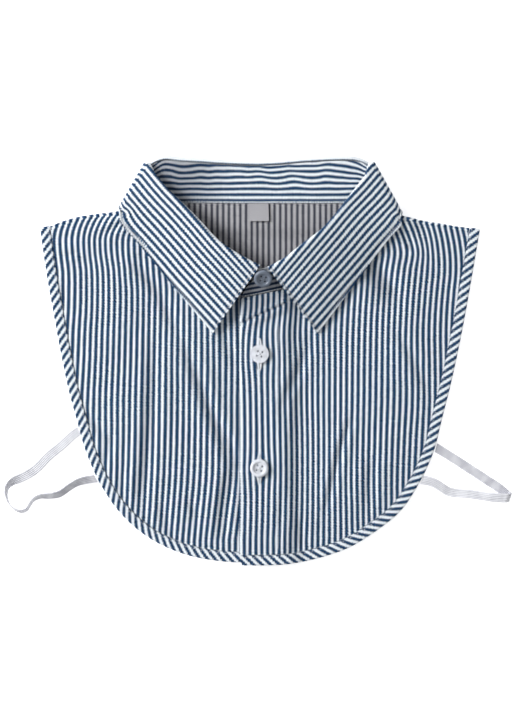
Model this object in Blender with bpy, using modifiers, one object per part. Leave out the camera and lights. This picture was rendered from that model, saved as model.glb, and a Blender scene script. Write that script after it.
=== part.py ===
"""Detachable shirt collar for a child, buttoned and laid flat on its back.

+X is to the viewer's right, +Y towards the neck, +Z up to the viewer. Lengths in the tables are
millimetres, and MM turns them into metres. "Left" and "right" are the viewer's. Each piece of cloth
is a grid of points along its middle, given its thickness by Solidify.
"""

import math
from collections import namedtuple

import bmesh
import bpy
import numpy as np

MM = 0.001

# Cloth and trims: walls, widths and the space between pieces that touch
GAP = 0.3
PANEL_WALL = 1.0
COLLAR_WALL = 1.4
BINDING_WALL = 1.2
BINDING_WIDTH = 6.3
ELASTIC_WALL = 1.0
ELASTIC_WIDTH = 5.4
LABEL_WALL = 0.8
LABEL_WIDTH = 12.5
LABEL_DROP = 11.0
LABEL_TUCK = 0.4
LABEL_X = -0.4
LABEL_SLANT = 0.3
LABEL_LIFT = 0.5
NECK_LINE = 97.9
PLACKET_WIDTH = 24.5

# How high the layers lie
BACK_MIDDLE = PANEL_WALL / 2
LAYER = PANEL_WALL + GAP
FALL_LIFT = 1.7  # the back panel rises this much over the part of the collar folded under it
OVERLAP_LIFT = 3.3  # two more layers where the right front lies on the left one
FACING_DROP = 1.5  # from the front's middle down to the middle of its folded edge
NECK_RISE = 2.4
NECK_REACH = 13.0
PUFF = 1.3
FRONT_BINDING = 2.15
BACK_BINDING = BINDING_WALL / 2
BINDING_LAP = 2.65
NECK_BACK_HEIGHT = 2.4
TABLE_CLEARANCE = 0.02

# Where the layers rise: from the first value to the second, in x, in y or in from the outer edge
FALL_UNDER_X = (92.0, 101.0)
FALL_UNDER_Y = (76.0, 83.0)
PUFF_EDGE = (4.0, 32.0)
FOLD_EDGE = (6.0, 14.0)
UNDER_LAP_X = (12.5, 34.0)
OVER_LAP_X = (14.0, 27.0)
BINDING_LAP_X = (18.0, 30.0)

# The collar's fold, as the radius to the middle of its cloth, and the space along its seam
ROLL = 1.2
ROLL_START = 0.4
LEAF_BELLY = 0.8
SEAM_GAP = 0.8
SHOULDER_GAP = 0.6

# Where things lie along the outline and the neck, as shares of their length
SEAM_AT = 0.075
CORNER_AT = 0.62
NECK_SEAM_AT = 0.2
HEM_START = 0.305
NECK_CORNER = 0.12
BACK_INSET = 1.5
BACK_EDGE_PLACES = [0.0, 0.05, 0.1, 0.2, 0.3, 0.4, 0.5, 0.58, 0.64, 0.7, 0.76, 0.84, 0.9]

# How finely each piece is divided
FRONT_COLUMNS = 18
FRONT_ROWS = 25
NECK_ROWS = 9
SHOULDER_COLUMNS = 5
BACK_ROWS = 18
CLOSER_ROWS = 1.6  # the power that draws the back's rows together near the neck
FACING_COLUMNS = 3
STRIP_ROWS = 4
LEAF_STATIONS = 13
LEAF_ROWS = 7
BACK_STATIONS = 14
TURN_STEPS = 6
STAND_COLUMNS = 4
BINDING_FRONT_ROWS = 38
BINDING_BACK_ROWS = 64
LABEL_ROWS = 5
LABEL_COLUMNS = 4
ELASTIC_STATIONS = 40
SHOULDER_TURNS = [30, 60, 90, 120, 150]
PLACKET_TURNS = [45, 90, 135]
COLLAR_TURNS = [-90, -45, 0, 45, 90]

# The front's outer edge, from the shoulder tip down and round to the centre
Outline = namedtuple("Outline", "left_x left_y right_x right_y")
OUTLINE = [
    Outline(-135.9, 81.5, 137.0, 80.3),
    Outline(-132.1, 54.9, 132.7, 54.9),
    Outline(-127.4, 28.2, 128.0, 28.2),
    Outline(-122.8, 3.4, 123.1, 3.4),
    Outline(-118.1, -18.9, 118.1, -18.9),
    Outline(-113.2, -36.9, 113.5, -36.9),
    Outline(-107.9, -55.5, 108.8, -55.5),
    Outline(-98.6, -76.6, 99.2, -76.6),
    Outline(-87.4, -93.3, 87.4, -93.9),
    Outline(-72.5, -107.3, 72.5, -106.0),
    Outline(-57.7, -115.9, 56.4, -115.9),
    Outline(-43.1, -121.2, 39.1, -122.1),
    Outline(-23.6, -124.6, 19.2, -126.2),
    Outline(12.4, -125.4, -10.9, -127.3),
]
HEM_CENTRE = (0.0, -124.6)

# The shoulder's fold (the axis of its roll) and the seam in front of it, from the binding inwards
Shoulder = namedtuple("Shoulder", "left_x left_y right_x right_y")
SHOULDER_FOLD = [
    Shoulder(-122.5, 85.0, 120.9, 82.3),
    Shoulder(-102.7, 89.2, 102.9, 85.1),
    Shoulder(-86.0, 91.0, 87.4, 88.2),
    Shoulder(-82.0, 91.8, 83.0, 89.0),
]
SHOULDER_SEAM = [
    Shoulder(-110.6, 67.0, 114.7, 64.8),
    Shoulder(-90.5, 72.8, 91.5, 72.0),
]

# The collar from its front end to the side: its fold, the leaf's outer edge and the neck seam
Collar = namedtuple("Collar", "fold_x fold_y fold_z edge_x edge_y edge_z seam_x seam_y")
COLLAR = {
    "left": [
        Collar(0.9, 59.2, 14.5, -28.5, 17.1, 4.8, -1.9, 41.2),
        Collar(-9.9, 64.8, 15.0, -34.7, 24.5, 5.0, -16.0, 43.8),
        Collar(-24.8, 74.7, 15.0, -44.6, 36.3, 5.3, -34.0, 49.0),
        Collar(-36.6, 87.1, 14.0, -54.6, 48.0, 5.6, -49.0, 56.5),
        Collar(-48.4, 98.9, 12.4, -65.1, 61.1, 6.0, -61.0, 65.0),
        Collar(-56.4, 106.6, 10.8, -75.0, 73.0, 6.5, -70.0, 75.0),
        Collar(-62.6, 114.2, 8.8, -83.6, 82.8, 7.0, -76.0, 84.0),
        Collar(-66.0, 118.8, 7.2, -87.4, 87.4, 7.3, -79.0, 89.2),
        Collar(-67.3, 122.2, 6.1, -86.4, 91.2, 7.4, -80.0, 92.2),
    ],
    "right": [
        Collar(5.0, 58.0, 16.4, 36.3, 17.1, 4.9, 9.0, 43.5),
        Collar(14.3, 62.9, 16.4, 41.5, 23.9, 5.1, 20.0, 45.8),
        Collar(27.9, 73.5, 15.6, 50.8, 36.3, 5.4, 35.0, 49.5),
        Collar(37.8, 80.9, 14.4, 60.1, 48.7, 5.7, 50.0, 56.5),
        Collar(49.0, 93.3, 12.4, 69.4, 61.1, 6.0, 62.0, 65.0),
        Collar(57.0, 103.8, 10.8, 77.5, 72.0, 6.5, 71.0, 74.5),
        Collar(63.6, 112.4, 8.8, 85.2, 81.2, 7.0, 77.0, 82.0),
        Collar(66.8, 118.0, 7.2, 89.0, 85.6, 7.3, 80.0, 86.4),
        Collar(67.9, 122.2, 6.1, 88.0, 88.6, 7.4, 81.0, 89.4),
    ],
}

# The stand's rounded ends, which pass the front of the leaves and lap at the centre
StandEnd = namedtuple("StandEnd", "top_x top_y top_z seam_x seam_y")
STAND_END = {
    "left": [
        StandEnd(5.6, 57.2, 12.9, 4.0, 41.9),
        StandEnd(9.8, 52.5, 10.6, 8.6, 42.6),
        StandEnd(12.0, 47.4, 7.4, 12.4, 43.1),
    ],
    "right": [
        StandEnd(2.6, 55.6, 15.0, 0.4, 41.6),
        StandEnd(-2.6, 50.8, 12.2, -5.6, 40.5),
        StandEnd(-8.4, 44.4, 9.4, -10.9, 39.6),
    ],
}

# The collar behind the neck: its top fold as it shows, the edge folded under the back, the seam
BackFold = namedtuple("BackFold", "fold_x fold_y edge_x edge_y seam_x seam_y")
BACK_FOLD = [
    BackFold(-62.2, 126.4, -72.0, 87.4, -71.0, 97.4),
    BackFold(-48.4, 126.2, -52.0, 87.8, -52.0, 97.9),
    BackFold(-18.0, 124.3, -18.0, 88.0, -18.0, 97.9),
    BackFold(0.0, 123.8, 0.0, 88.0, 0.0, 97.9),
    BackFold(37.8, 126.4, 38.0, 88.0, 38.0, 97.9),
    BackFold(53.6, 126.8, 57.0, 87.8, 57.0, 97.8),
    BackFold(62.6, 126.0, 72.0, 87.0, 71.0, 97.0),
]

# Soft troughs (depth above zero) and ridges (below zero) in the fronts
Fold = namedtuple("Fold", "panel x0 y0 x1 y1 width depth")
FOLDS = [
    Fold("left", -14.0, -40.0, -18.0, -118.0, 6.0, 0.9),
    Fold("left", -34.0, 18.9, -35.0, -112.0, 7.0, 0.7),
    Fold("left", -65.7, -12.0, -64.0, -98.0, 8.0, 0.9),
    Fold("left", -112.0, 30.0, -117.0, 15.8, 3.5, 0.6),
    Fold("left", -90.0, 60.0, -84.0, 20.0, 9.0, -0.6),
    Fold("right", 70.1, -15.2, 53.9, -53.6, 4.0, 1.2),
    Fold("right", 53.9, -53.6, 45.9, -81.5, 4.0, 1.3),
    Fold("right", 45.9, -81.5, 39.7, -103.8, 5.0, 1.0),
    Fold("right", 68.8, -67.9, 66.3, -98.9, 6.0, 0.8),
    Fold("right", 117.0, 66.0, 120.0, 50.0, 4.0, 0.7),
    Fold("right", 99.2, -5.9, 98.0, -18.9, 3.5, 0.6),
    Fold("right", -7.0, 24.5, 17.4, 35.6, 3.5, -0.8),
]

# The elastics, a row per bend: the band's middle, where its width points and how far it tips up
Elastic = namedtuple("Elastic", "x y z heading tilt")
ELASTICS = {
    "elastic_left": [
        Elastic(-111.9, -43.4, 1.45, 106, 0),
        Elastic(-116.4, -46.9, 1.0, 124, 0),
        Elastic(-122.2, -52.3, 0.6, 134, 0),
        Elastic(-131.3, -59.8, 0.6, 132, 0),
        Elastic(-138.4, -67.1, 0.7, 127, 4),
        Elastic(-144.8, -71.3, 1.0, 117, 8),
        Elastic(-149.1, -73.3, 1.4, 112, 14),
        Elastic(-152.8, -75.0, 2.2, 124, 32),
        Elastic(-155.8, -77.9, 2.9, 148, 56),
        Elastic(-157.0, -81.4, 3.3, 175, 70),
        Elastic(-156.5, -85.4, 3.4, 190, 82),
        Elastic(-154.9, -89.0, 3.4, 208, 92),
        Elastic(-151.8, -92.2, 3.4, 235, 99),
        Elastic(-147.6, -93.6, 3.3, 262, 106),
        Elastic(-144.2, -92.6, 3.3, 300, 106),
        Elastic(-142.2, -89.6, 3.3, 324, 106),
        Elastic(-139.6, -86.2, 3.2, 314, 112),
        Elastic(-135.9, -84.4, 3.1, 290, 120),
        Elastic(-130.2, -84.1, 2.9, 273, 128),
        Elastic(-123.6, -82.8, 2.6, 288, 138),
        Elastic(-118.3, -79.2, 2.5, 305, 140),
        Elastic(-112.7, -75.8, 2.2, 295, 148),
        Elastic(-107.6, -74.4, 1.9, 283, 156),
        Elastic(-101.0, -73.3, 1.8, 294, 164),
    ],
    "elastic_right": [
        Elastic(109.9, -54.0, 1.45, 76, 0),
        Elastic(115.0, -57.2, 1.0, 62, 0),
        Elastic(125.5, -63.9, 0.6, 57, 0),
        Elastic(133.7, -69.2, 0.6, 57, 0),
        Elastic(141.9, -74.6, 0.6, 58, 0),
        Elastic(148.1, -78.6, 0.6, 61, 0),
        Elastic(152.4, -82.0, 0.6, 66, 0),
        Elastic(154.6, -84.0, 0.9, 69, 0),
        Elastic(155.7, -85.0, 1.9, 71, 0),
        Elastic(154.6, -85.2, 2.9, 73, 0),
        Elastic(151.4, -85.2, 3.3, 78, 0),
        Elastic(146.1, -84.9, 3.2, 82, 0),
        Elastic(137.8, -83.9, 2.4, 83, -18),
        Elastic(129.6, -82.8, 1.8, 83, -18),
        Elastic(121.4, -82.1, 1.3, 85, -10),
        Elastic(117.0, -81.1, 1.2, 74, 0),
        Elastic(113.0, -78.6, 1.6, 60, 6),
        Elastic(108.8, -75.9, 1.9, 62, 8),
        Elastic(104.6, -74.6, 1.7, 72, 4),
        Elastic(101.0, -74.1, 1.5, 66, 0),
    ],
}

# Buttons, and their sections as shares of the radius and the rim's height
BUTTON_RADIUS = 5.7
BUTTON_RIM = 2.2
BUTTON_WELL = 1.5
BUTTON_HOLE = 0.65
BUTTON_HOLE_SPREAD = 2.0
BUTTON_SIDES = 24
BUTTON_HOLE_SIDES = 8
BUTTON_HOLES = 4
BUTTON_HOLE_TURN = 33.0
PLACKET_BUTTONS = {"button_upper": (0.4, 4.1), "button_lower": (0.2, -66.7)}
STAND_BUTTON = (2.5, 51.6)

# Which side of the outline its inside is on, walking from the shoulder to the centre
INWARD = {"left": 1, "right": -1}

UP = np.array([0.0, 0.0, 1.0])
TURNED = -0.99  # a section whose normal points this far down lies behind the neck

COLOURS = {
    "striped_cotton": (0.33, 0.39, 0.47, 0.85),
    "striped_binding": (0.36, 0.42, 0.50, 0.85),
    "button_shell": (0.80, 0.81, 0.84, 0.25),
    "label_satin": (0.55, 0.55, 0.58, 0.45),
    "elastic_white": (0.74, 0.75, 0.79, 0.70),
}


def smooth(value, low, high):
    """0 below low, 1 above high, and an even curve between."""
    share = min(max((value - low) / (high - low), 0.0), 1.0)
    return share * share * (3 - 2 * share)


def blend(first, second, share):
    return np.asarray(first, float) * (1 - share) + np.asarray(second, float) * share


def unit(vector):
    vector = np.asarray(vector, float)
    return vector / np.linalg.norm(vector)


def shares(count):
    return [i / count for i in range(count + 1)]


class Curve:
    """A smooth curve through a table's rows. Shares of its length are measured in plan."""

    def __init__(self, rows):
        self.rows = np.array(rows, float)
        steps = np.linalg.norm(np.diff(self.rows[:, :2], axis=0), axis=1)
        self.places = np.concatenate([[0.0], np.cumsum(steps)]) / steps.sum()
        self.slopes = np.gradient(self.rows, self.places, axis=0)

    def at(self, share):
        share = min(max(share, 0.0), 1.0)
        i = min(np.searchsorted(self.places, share, side="right") - 1, len(self.rows) - 2)
        span = self.places[i + 1] - self.places[i]
        t = (share - self.places[i]) / span
        return (
            (2 * t**3 - 3 * t**2 + 1) * self.rows[i]
            + (t**3 - 2 * t**2 + t) * span * self.slopes[i]
            + (3 * t**2 - 2 * t**3) * self.rows[i + 1]
            + (t**3 - t**2) * span * self.slopes[i + 1]
        )

    def heading(self, share):
        step = 0.002
        ahead = self.at(share + step) if share < 1 - step else self.at(share)
        behind = self.at(share - step) if share > step else self.at(share)
        return unit((ahead - behind)[:2])

    def beside(self, share, distance):
        """The point this far to the left of the curve, in plan."""
        x, y = self.heading(share)
        return self.at(share)[:2] + distance * np.array([-y, x])


def side_rows(table, side):
    return [(getattr(row, side + "_x"), getattr(row, side + "_y")) for row in table]


EDGE = {side: Curve(side_rows(OUTLINE, side)) for side in INWARD}
NECK = {
    side: Curve(
        [(row.seam_x, row.seam_y) for row in reversed(COLLAR[side])]
        + [(row.seam_x, row.seam_y) for row in STAND_END[side]]
    )
    for side in INWARD
}
NECK_POINTS = np.array([NECK[side].at(share) for side in INWARD for share in shares(60)])
EDGE_POINTS = np.array([EDGE[side].at(share) for side in INWARD for share in shares(90)])


def back_edge_curve():
    """The back's outer edge, from the left shoulder tip round the hem to the right one."""

    def half(side):
        found = []
        for place in BACK_EDGE_PLACES:
            inset = BACK_INSET * smooth(place, 0.0, 0.1)
            found.append(EDGE[side].beside(place, INWARD[side] * inset))
        return found

    return Curve(half("left") + [HEM_CENTRE] + half("right")[::-1])


BACK_EDGE = back_edge_curve()


def nearest(points, x, y):
    return float(np.sqrt(((points - (x, y)) ** 2).sum(axis=1).min()))


def back_height(x, y):
    """Middle of the back panel: flat on the table, lifted where the collar lies under it."""
    over_fall = smooth(y, *FALL_UNDER_Y) * (1 - smooth(abs(x), *FALL_UNDER_X))
    return BACK_MIDDLE + FALL_LIFT * over_fall


def fold_depth(side, x, y):
    total = 0.0
    for fold in FOLDS:
        if fold.panel != side:
            continue
        start = np.array([fold.x0, fold.y0])
        along = np.array([fold.x1, fold.y1]) - start
        offset = np.array([x, y]) - start
        share = min(max(offset @ along / (along @ along), 0.0), 1.0)
        away = np.linalg.norm(offset - share * along)
        fade = smooth(share, -0.2, 0.25) * (1 - smooth(share, 0.75, 1.2))
        total += fold.depth * fade * math.exp(-((away / fold.width) ** 2))
    return total


def front_height(side, x, y):
    """Middle of a front panel, or of the back's forward strip above its seam."""
    near_neck = math.exp(-((nearest(NECK_POINTS, x, y) / NECK_REACH) ** 2))
    from_edge = nearest(EDGE_POINTS, x, y)
    puff = PUFF * smooth(from_edge, *PUFF_EDGE) * (1 - near_neck)
    lift = 0.0
    if side == "left":
        puff *= smooth(-x, *UNDER_LAP_X)
    else:
        lift = OVERLAP_LIFT * (1 - smooth(x, *OVER_LAP_X))
    ripple = max(puff - fold_depth(side, x, y) * smooth(from_edge, *FOLD_EDGE), 0.0)
    return back_height(x, y) + LAYER + lift + NECK_RISE * near_neck + ripple


def new_material(name):
    material = bpy.data.materials.new(name)
    material.use_nodes = True
    *colour, roughness = COLOURS[name]
    shader = material.node_tree.nodes["Principled BSDF"]
    shader.inputs["Base Color"].default_value = (*colour, 1.0)
    shader.inputs["Roughness"].default_value = roughness
    shader.inputs["Metallic"].default_value = 0.0
    return material


def new_object(name, mesh, material_name, collection):
    piece = bpy.data.objects.new(name, mesh)
    collection.objects.link(piece)
    material = bpy.data.materials.get(material_name) or new_material(material_name)
    mesh.materials.append(material)
    return piece


def cloth(name, rows, wall, material_name, collection, kept=None):
    """A wall of cloth about a grid of middle points. kept(i, j) says which of them the pattern has."""
    grid = np.array(rows, float)
    down, along = grid.shape[0] - 1, grid.shape[1] - 1
    work = bmesh.new()
    bmesh.ops.create_grid(work, x_segments=along, y_segments=down, size=1.0)
    spare = []
    for vertex in work.verts:
        i = round((vertex.co.y + 1) / 2 * down)
        j = round((vertex.co.x + 1) / 2 * along)
        vertex.co = grid[i, j] * MM
        if kept and not kept(i, j):
            spare.append(vertex)
    bmesh.ops.delete(work, geom=spare, context="VERTS")
    mesh = bpy.data.meshes.new(name)
    work.to_mesh(mesh)
    work.free()
    mesh.shade_smooth()
    piece = new_object(name, mesh, material_name, collection)
    thickness = piece.modifiers.new("Thickness", "SOLIDIFY")
    thickness.thickness = wall * MM
    thickness.offset = 0.0
    thickness.use_even_offset = True
    return piece


def patch(top, bottom, outer, inner, down, along):
    """Plan points that fill the space between four edges, each a function of a share."""
    grid = []
    for v in down:
        line = []
        for u in along:
            corners = (
                (1 - u) * (1 - v) * top(0.0)
                + u * (1 - v) * top(1.0)
                + (1 - u) * v * bottom(0.0)
                + u * v * bottom(1.0)
            )
            edges = (1 - v) * top(u) + v * bottom(u) + (1 - u) * outer(v) + u * inner(v)
            line.append(edges - corners)
        grid.append(line)
    return grid


def front_rim(side, share):
    """Edge of the front panel, just inside the binding."""
    return EDGE[side].beside(share, INWARD[side] * (BINDING_WIDTH + GAP))


def back_rim(share):
    return BACK_EDGE.beside(share, BINDING_WIDTH + GAP)


def shoulder_seam(side, gap):
    """The forward shoulder seam, from the binding to the neck, moved this far down."""
    neck_end = NECK[side].beside(NECK_SEAM_AT, -INWARD[side] * SEAM_GAP)
    rows = [front_rim(side, SEAM_AT), *side_rows(SHOULDER_SEAM, side), neck_end]
    return Curve([(x, y - gap) for x, y in rows])


def front_points(side):
    """Plan points of a front, row by row from the shoulder seam down."""
    seam = shoulder_seam(side, SHOULDER_GAP / 2)
    neck_share = NECK_ROWS / FRONT_ROWS

    def neck_edge(share):
        return NECK[side].beside(share, -INWARD[side] * SEAM_GAP)

    def inner(v):
        if v == 0:
            return seam.at(1.0)
        if v <= neck_share:
            return neck_edge(NECK_SEAM_AT + (1 - NECK_SEAM_AT) * v / neck_share)
        return blend(neck_edge(1.0), front_rim(side, 1.0), (v - neck_share) / (1 - neck_share))

    def outer(v):
        if v == 0:
            return seam.at(0.0)
        return front_rim(side, SEAM_AT + (CORNER_AT - SEAM_AT) * v)

    def bottom(u):
        return front_rim(side, CORNER_AT + (1 - CORNER_AT) * u)

    return patch(seam.at, bottom, outer, inner, shares(FRONT_ROWS), shares(FRONT_COLUMNS))


def make_front_right(collection):
    """The wearer's right front, on the viewer's left. Its edge lies under the other front."""
    rows = [[(x, y, front_height("left", x, y)) for x, y in line] for line in front_points("left")]
    return cloth("front_right", rows, PANEL_WALL, "striped_cotton", collection)


def make_front_left(collection):
    """The wearer's left front, with its edge folded under to make the placket."""
    rows = []
    for line in front_points("right"):
        row = [(x, y, front_height("right", x, y)) for x, y in line]
        x, y, top = row[-1]
        radius = FACING_DROP / 2
        for angle in PLACKET_TURNS:
            turn = math.radians(angle)
            row.append((x - radius * math.sin(turn), y, top - radius + radius * math.cos(turn)))
        row.append((x, y, top - FACING_DROP))
        for share in shares(FACING_COLUMNS)[1:]:
            under = x + PLACKET_WIDTH * share
            row.append((under, y, front_height("right", under, y) - FACING_DROP))
        rows.append(row)

    def kept(i, j):
        return j <= FRONT_COLUMNS or i >= NECK_ROWS

    return cloth("front_left", rows, PANEL_WALL, "striped_cotton", collection, kept)


def back_top(stations):
    """The back's top edge: shoulder fold, neck, shoulder fold."""
    neck = Curve([row.seam[:2] for row in stations if row.normal[2] < TURNED])
    folds = {
        side: Curve([front_rim(side, 0.0), *side_rows(SHOULDER_FOLD, side)]) for side in INWARD
    }
    points = [folds["left"].at(share) for share in shares(SHOULDER_COLUMNS)]
    for share in neck.places:
        corner = 1 - smooth(min(share, 1 - share), 0.0, NECK_CORNER)
        points.append(neck.beside(share, -SEAM_GAP * (1 + corner)))
    points += [folds["right"].at(share) for share in shares(SHOULDER_COLUMNS)[::-1]]
    return points


def make_back_panel(stations, collection):
    """The back, which folds over each shoulder and comes forward to its seam."""
    top_points = back_top(stations)
    columns = len(top_points) - 1

    def top(u):
        return top_points[round(u * columns)]

    def bottom(u):
        return back_rim(HEM_START + (1 - 2 * HEM_START) * u)

    def left(v):
        return back_rim(HEM_START * v)

    def right(v):
        return back_rim(1 - HEM_START * v)

    down = [share**CLOSER_ROWS for share in shares(BACK_ROWS)]
    main = patch(top, bottom, left, right, down, shares(columns))
    seams = {side: shoulder_seam(side, -SHOULDER_GAP / 2) for side in INWARD}
    strip = shares(STRIP_ROWS)[::-1]
    turns = SHOULDER_TURNS[::-1]
    wrap = [[None] * (columns + 1) for _ in range(len(strip) + len(turns))]
    for j, axis in enumerate(top_points):
        side = "left" if j <= columns / 2 else "right"
        place = min(j if side == "left" else columns - j, SHOULDER_COLUMNS) / SHOULDER_COLUMNS
        seam = seams[side].at(place)
        out = unit(axis - seam)
        for i, share in enumerate(strip):
            x, y = blend(axis, seam, share)
            wrap[i][j] = (x, y, front_height(side, x, y))
        low = back_height(*axis)
        radius = (front_height(side, *axis) - low) / 2
        for i, angle in enumerate(turns):
            turn = math.radians(angle)
            x, y = axis + out * radius * math.sin(turn)
            wrap[len(strip) + i][j] = (x, y, low + radius - radius * math.cos(turn))
    rows = wrap + [[(x, y, back_height(x, y)) for x, y in line] for line in main]

    def kept(i, j):
        return i >= len(wrap) or j <= SHOULDER_COLUMNS or j >= columns - SHOULDER_COLUMNS

    return cloth("back_panel", rows, PANEL_WALL, "striped_cotton", collection, kept)


def make_binding(collection):
    """One bias strip round the whole edge, from one front's centre over both shoulders to the other's."""
    across = []

    def lay(centre, inward, z):
        half = BINDING_WIDTH / 2
        outer = (*(centre - inward * half), z)
        inner = (*(centre + inward * half), z)
        middle = (*centre, z)
        across.append((outer, middle, inner))

    def front(side, places):
        for place in places:
            x, y = EDGE[side].heading(place)
            inward = INWARD[side] * np.array([-y, x])
            lap = BINDING_LAP * (1 - smooth(EDGE[side].at(place)[0], *BINDING_LAP_X))
            z = FRONT_BINDING + (lap if side == "right" else 0.0)
            lay(EDGE[side].beside(place, INWARD[side] * BINDING_WIDTH / 2), inward, z)

    def over_shoulder(side, angles):
        ahead = EDGE[side].heading(0.0)
        inward = INWARD[side] * np.array([-ahead[1], ahead[0]])
        centre = EDGE[side].beside(0.0, INWARD[side] * BINDING_WIDTH / 2)
        radius = (FRONT_BINDING - BACK_BINDING) / 2
        for angle in angles:
            turn = math.radians(angle)
            z = BACK_BINDING + radius - radius * math.cos(turn)
            lay(centre - ahead * radius * math.sin(turn), inward, z)

    front("left", shares(BINDING_FRONT_ROWS)[::-1])
    over_shoulder("left", SHOULDER_TURNS[::-1])
    for place in shares(BINDING_BACK_ROWS):
        x, y = BACK_EDGE.heading(place)
        lay(BACK_EDGE.beside(place, BINDING_WIDTH / 2), np.array([-y, x]), BACK_BINDING)
    over_shoulder("right", SHOULDER_TURNS)
    front("right", shares(BINDING_FRONT_ROWS))
    return cloth("edge_binding", across, BINDING_WALL, "striped_binding", collection)


Station = namedtuple("Station", "fold edge seam normal")


def front_stations(side):
    """Sections of the collar on the front, from its front end to the side."""
    curve = Curve(COLLAR[side])
    found = []
    for share in shares(LEAF_STATIONS):
        row = Collar(*curve.at(share))
        across = unit((row.edge_x - row.fold_x, row.edge_y - row.fold_y, 0.0))
        fold = np.array([row.fold_x, row.fold_y, row.fold_z]) + across * (ROLL + COLLAR_WALL / 2)
        edge = np.array([row.edge_x, row.edge_y, row.edge_z])
        seam = np.array([row.seam_x, row.seam_y, front_height(side, row.seam_x, row.seam_y)])
        found.append(Station(fold, edge, seam, UP))
    return found


def side_turn(start, side):
    """Sections where the collar rolls to the back layer: its fold turns about a line down the
    collar's side, and its edge and seam turn over the shoulder."""
    down = unit((start.edge - start.fold) * (1, 1, 0))
    beside_collar = INWARD[side] * np.array([down[1], -down[0], 0.0])
    shoulder = Curve(side_rows(SHOULDER_FOLD, side)).heading(1.0)
    over_shoulder = INWARD[side] * np.array([-shoulder[1], shoulder[0], 0.0])
    outs = (beside_collar, over_shoulder, over_shoulder)
    floors = (COLLAR_WALL / 2 + ROLL, COLLAR_WALL / 2, NECK_BACK_HEIGHT)
    found = []
    for share in shares(TURN_STEPS)[1:]:
        turn = math.pi * share
        points = []
        for begin, out, floor in zip(start[:3], outs, floors):
            radius = (begin[2] - floor) / 2
            centre = begin * (1, 1, 0) + UP * (floor + radius)
            points.append(centre + radius * (UP * math.cos(turn) + out * math.sin(turn)))
        found.append(Station(*points, UP * math.cos(turn) + beside_collar * math.sin(turn)))
    return found


def plan_row(station):
    across = unit((station.edge - station.fold) * (1, 1, 0))
    seen = station.fold - across * (ROLL + COLLAR_WALL / 2)
    return BackFold(*seen[:2], *station.edge[:2], *station.seam[:2])


def collar_stations():
    """Sections of the whole collar, left front to right front: fold, leaf edge, neck seam, and the
    normal that points out of the ring."""
    left, right = front_stations("left"), front_stations("right")
    left_turn, right_turn = side_turn(left[-1], "left"), side_turn(right[-1], "right")
    behind = Curve([plan_row(left_turn[-1]), *BACK_FOLD, plan_row(right_turn[-1])])
    back = []
    for share in shares(BACK_STATIONS)[1:-1]:
        closer_at_sides = 0.3 * share + 0.7 * smooth(share, 0.0, 1.0)
        row = BackFold(*behind.at(closer_at_sides))
        across = unit((row.edge_x - row.fold_x, row.edge_y - row.fold_y, 0.0))
        fold = np.array([row.fold_x, row.fold_y, COLLAR_WALL / 2 + ROLL])
        edge = np.array([row.edge_x, row.edge_y, COLLAR_WALL / 2])
        seam = np.array([row.seam_x, row.seam_y, NECK_BACK_HEIGHT])
        back.append(Station(fold + across * (ROLL + COLLAR_WALL / 2), edge, seam, -UP))
    return left + left_turn + back + right_turn[::-1] + right[::-1]


def make_collar_fall(stations, collection):
    """The leaf: from the stand's top edge it rolls over and falls to its outer edge."""
    slope = shares(LEAF_ROWS)[1:]
    rows = []
    for station in stations:
        span = station.edge - station.fold
        across = unit(span - station.normal * (span @ station.normal))
        row = [station.fold - station.normal * ROLL + across * ROLL_START]
        for angle in COLLAR_TURNS:
            turn = math.radians(angle)
            spoke = math.sin(turn) * station.normal - math.cos(turn) * across
            row.append(station.fold + ROLL * spoke)
        top = station.fold + ROLL * station.normal
        belly = LEAF_BELLY * max(station.normal[2], 0.0) * UP
        for share in slope:
            row.append(blend(top, station.edge, share) + belly * math.sin(math.pi * share))
        rows.append(row)
    return cloth("collar_fall", rows, COLLAR_WALL, "striped_cotton", collection)


def stand_rows(stations):
    """Middle of the stand, from its top edge under the fold down to the neck seam."""

    def section(top, seam):
        return [blend(top, seam, share) for share in shares(STAND_COLUMNS)]

    def end(side):
        found = []
        for row in STAND_END[side]:
            seam = (row.seam_x, row.seam_y, front_height(side, row.seam_x, row.seam_y))
            found.append(section((row.top_x, row.top_y, row.top_z), seam))
        return found

    rows = end("left")[::-1]
    for station in stations:
        under = station.fold - station.normal * ROLL
        top = under + unit(station.seam - under) * (ROLL_START + SEAM_GAP)
        rows.append(section(top, station.seam))
    return rows + end("right")


def make_size_label(collection):
    """A bare ribbon hung from the neck seam, on the inside of the back."""
    rows = []
    for down in shares(LABEL_ROWS):
        y = NECK_LINE - LABEL_TUCK - LABEL_DROP * down
        middle = LABEL_X + LABEL_SLANT * down
        row = []
        for share in shares(LABEL_COLUMNS):
            x = middle + LABEL_WIDTH * (share - 0.5)
            z = back_height(x, y) + (PANEL_WALL + LABEL_WALL) / 2 + GAP
            row.append((x, y, z + LABEL_LIFT * down**2))
        rows.append(row)
    return cloth("size_label", rows, LABEL_WALL, "label_satin", collection)


def make_elastic(name, collection):
    """Flat elastic that leaves the binding, makes a loop on the table and comes back to it."""
    curve = Curve(ELASTICS[name])
    rows = []
    for share in shares(ELASTIC_STATIONS):
        bend = Elastic(*curve.at(share))
        heading, tilt = math.radians(bend.heading), math.radians(bend.tilt)
        width = ELASTIC_WIDTH * np.array(
            [math.cos(tilt) * math.cos(heading), math.cos(tilt) * math.sin(heading), math.sin(tilt)]
        )
        reach = (abs(width[2]) + ELASTIC_WALL * abs(math.cos(tilt))) / 2
        middle = np.array([bend.x, bend.y, max(bend.z, reach + TABLE_CLEARANCE)])
        rows.append([middle + width * (step - 0.5) for step in shares(2)])
    return cloth(name, rows, ELASTIC_WALL, "elastic_white", collection)


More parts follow.
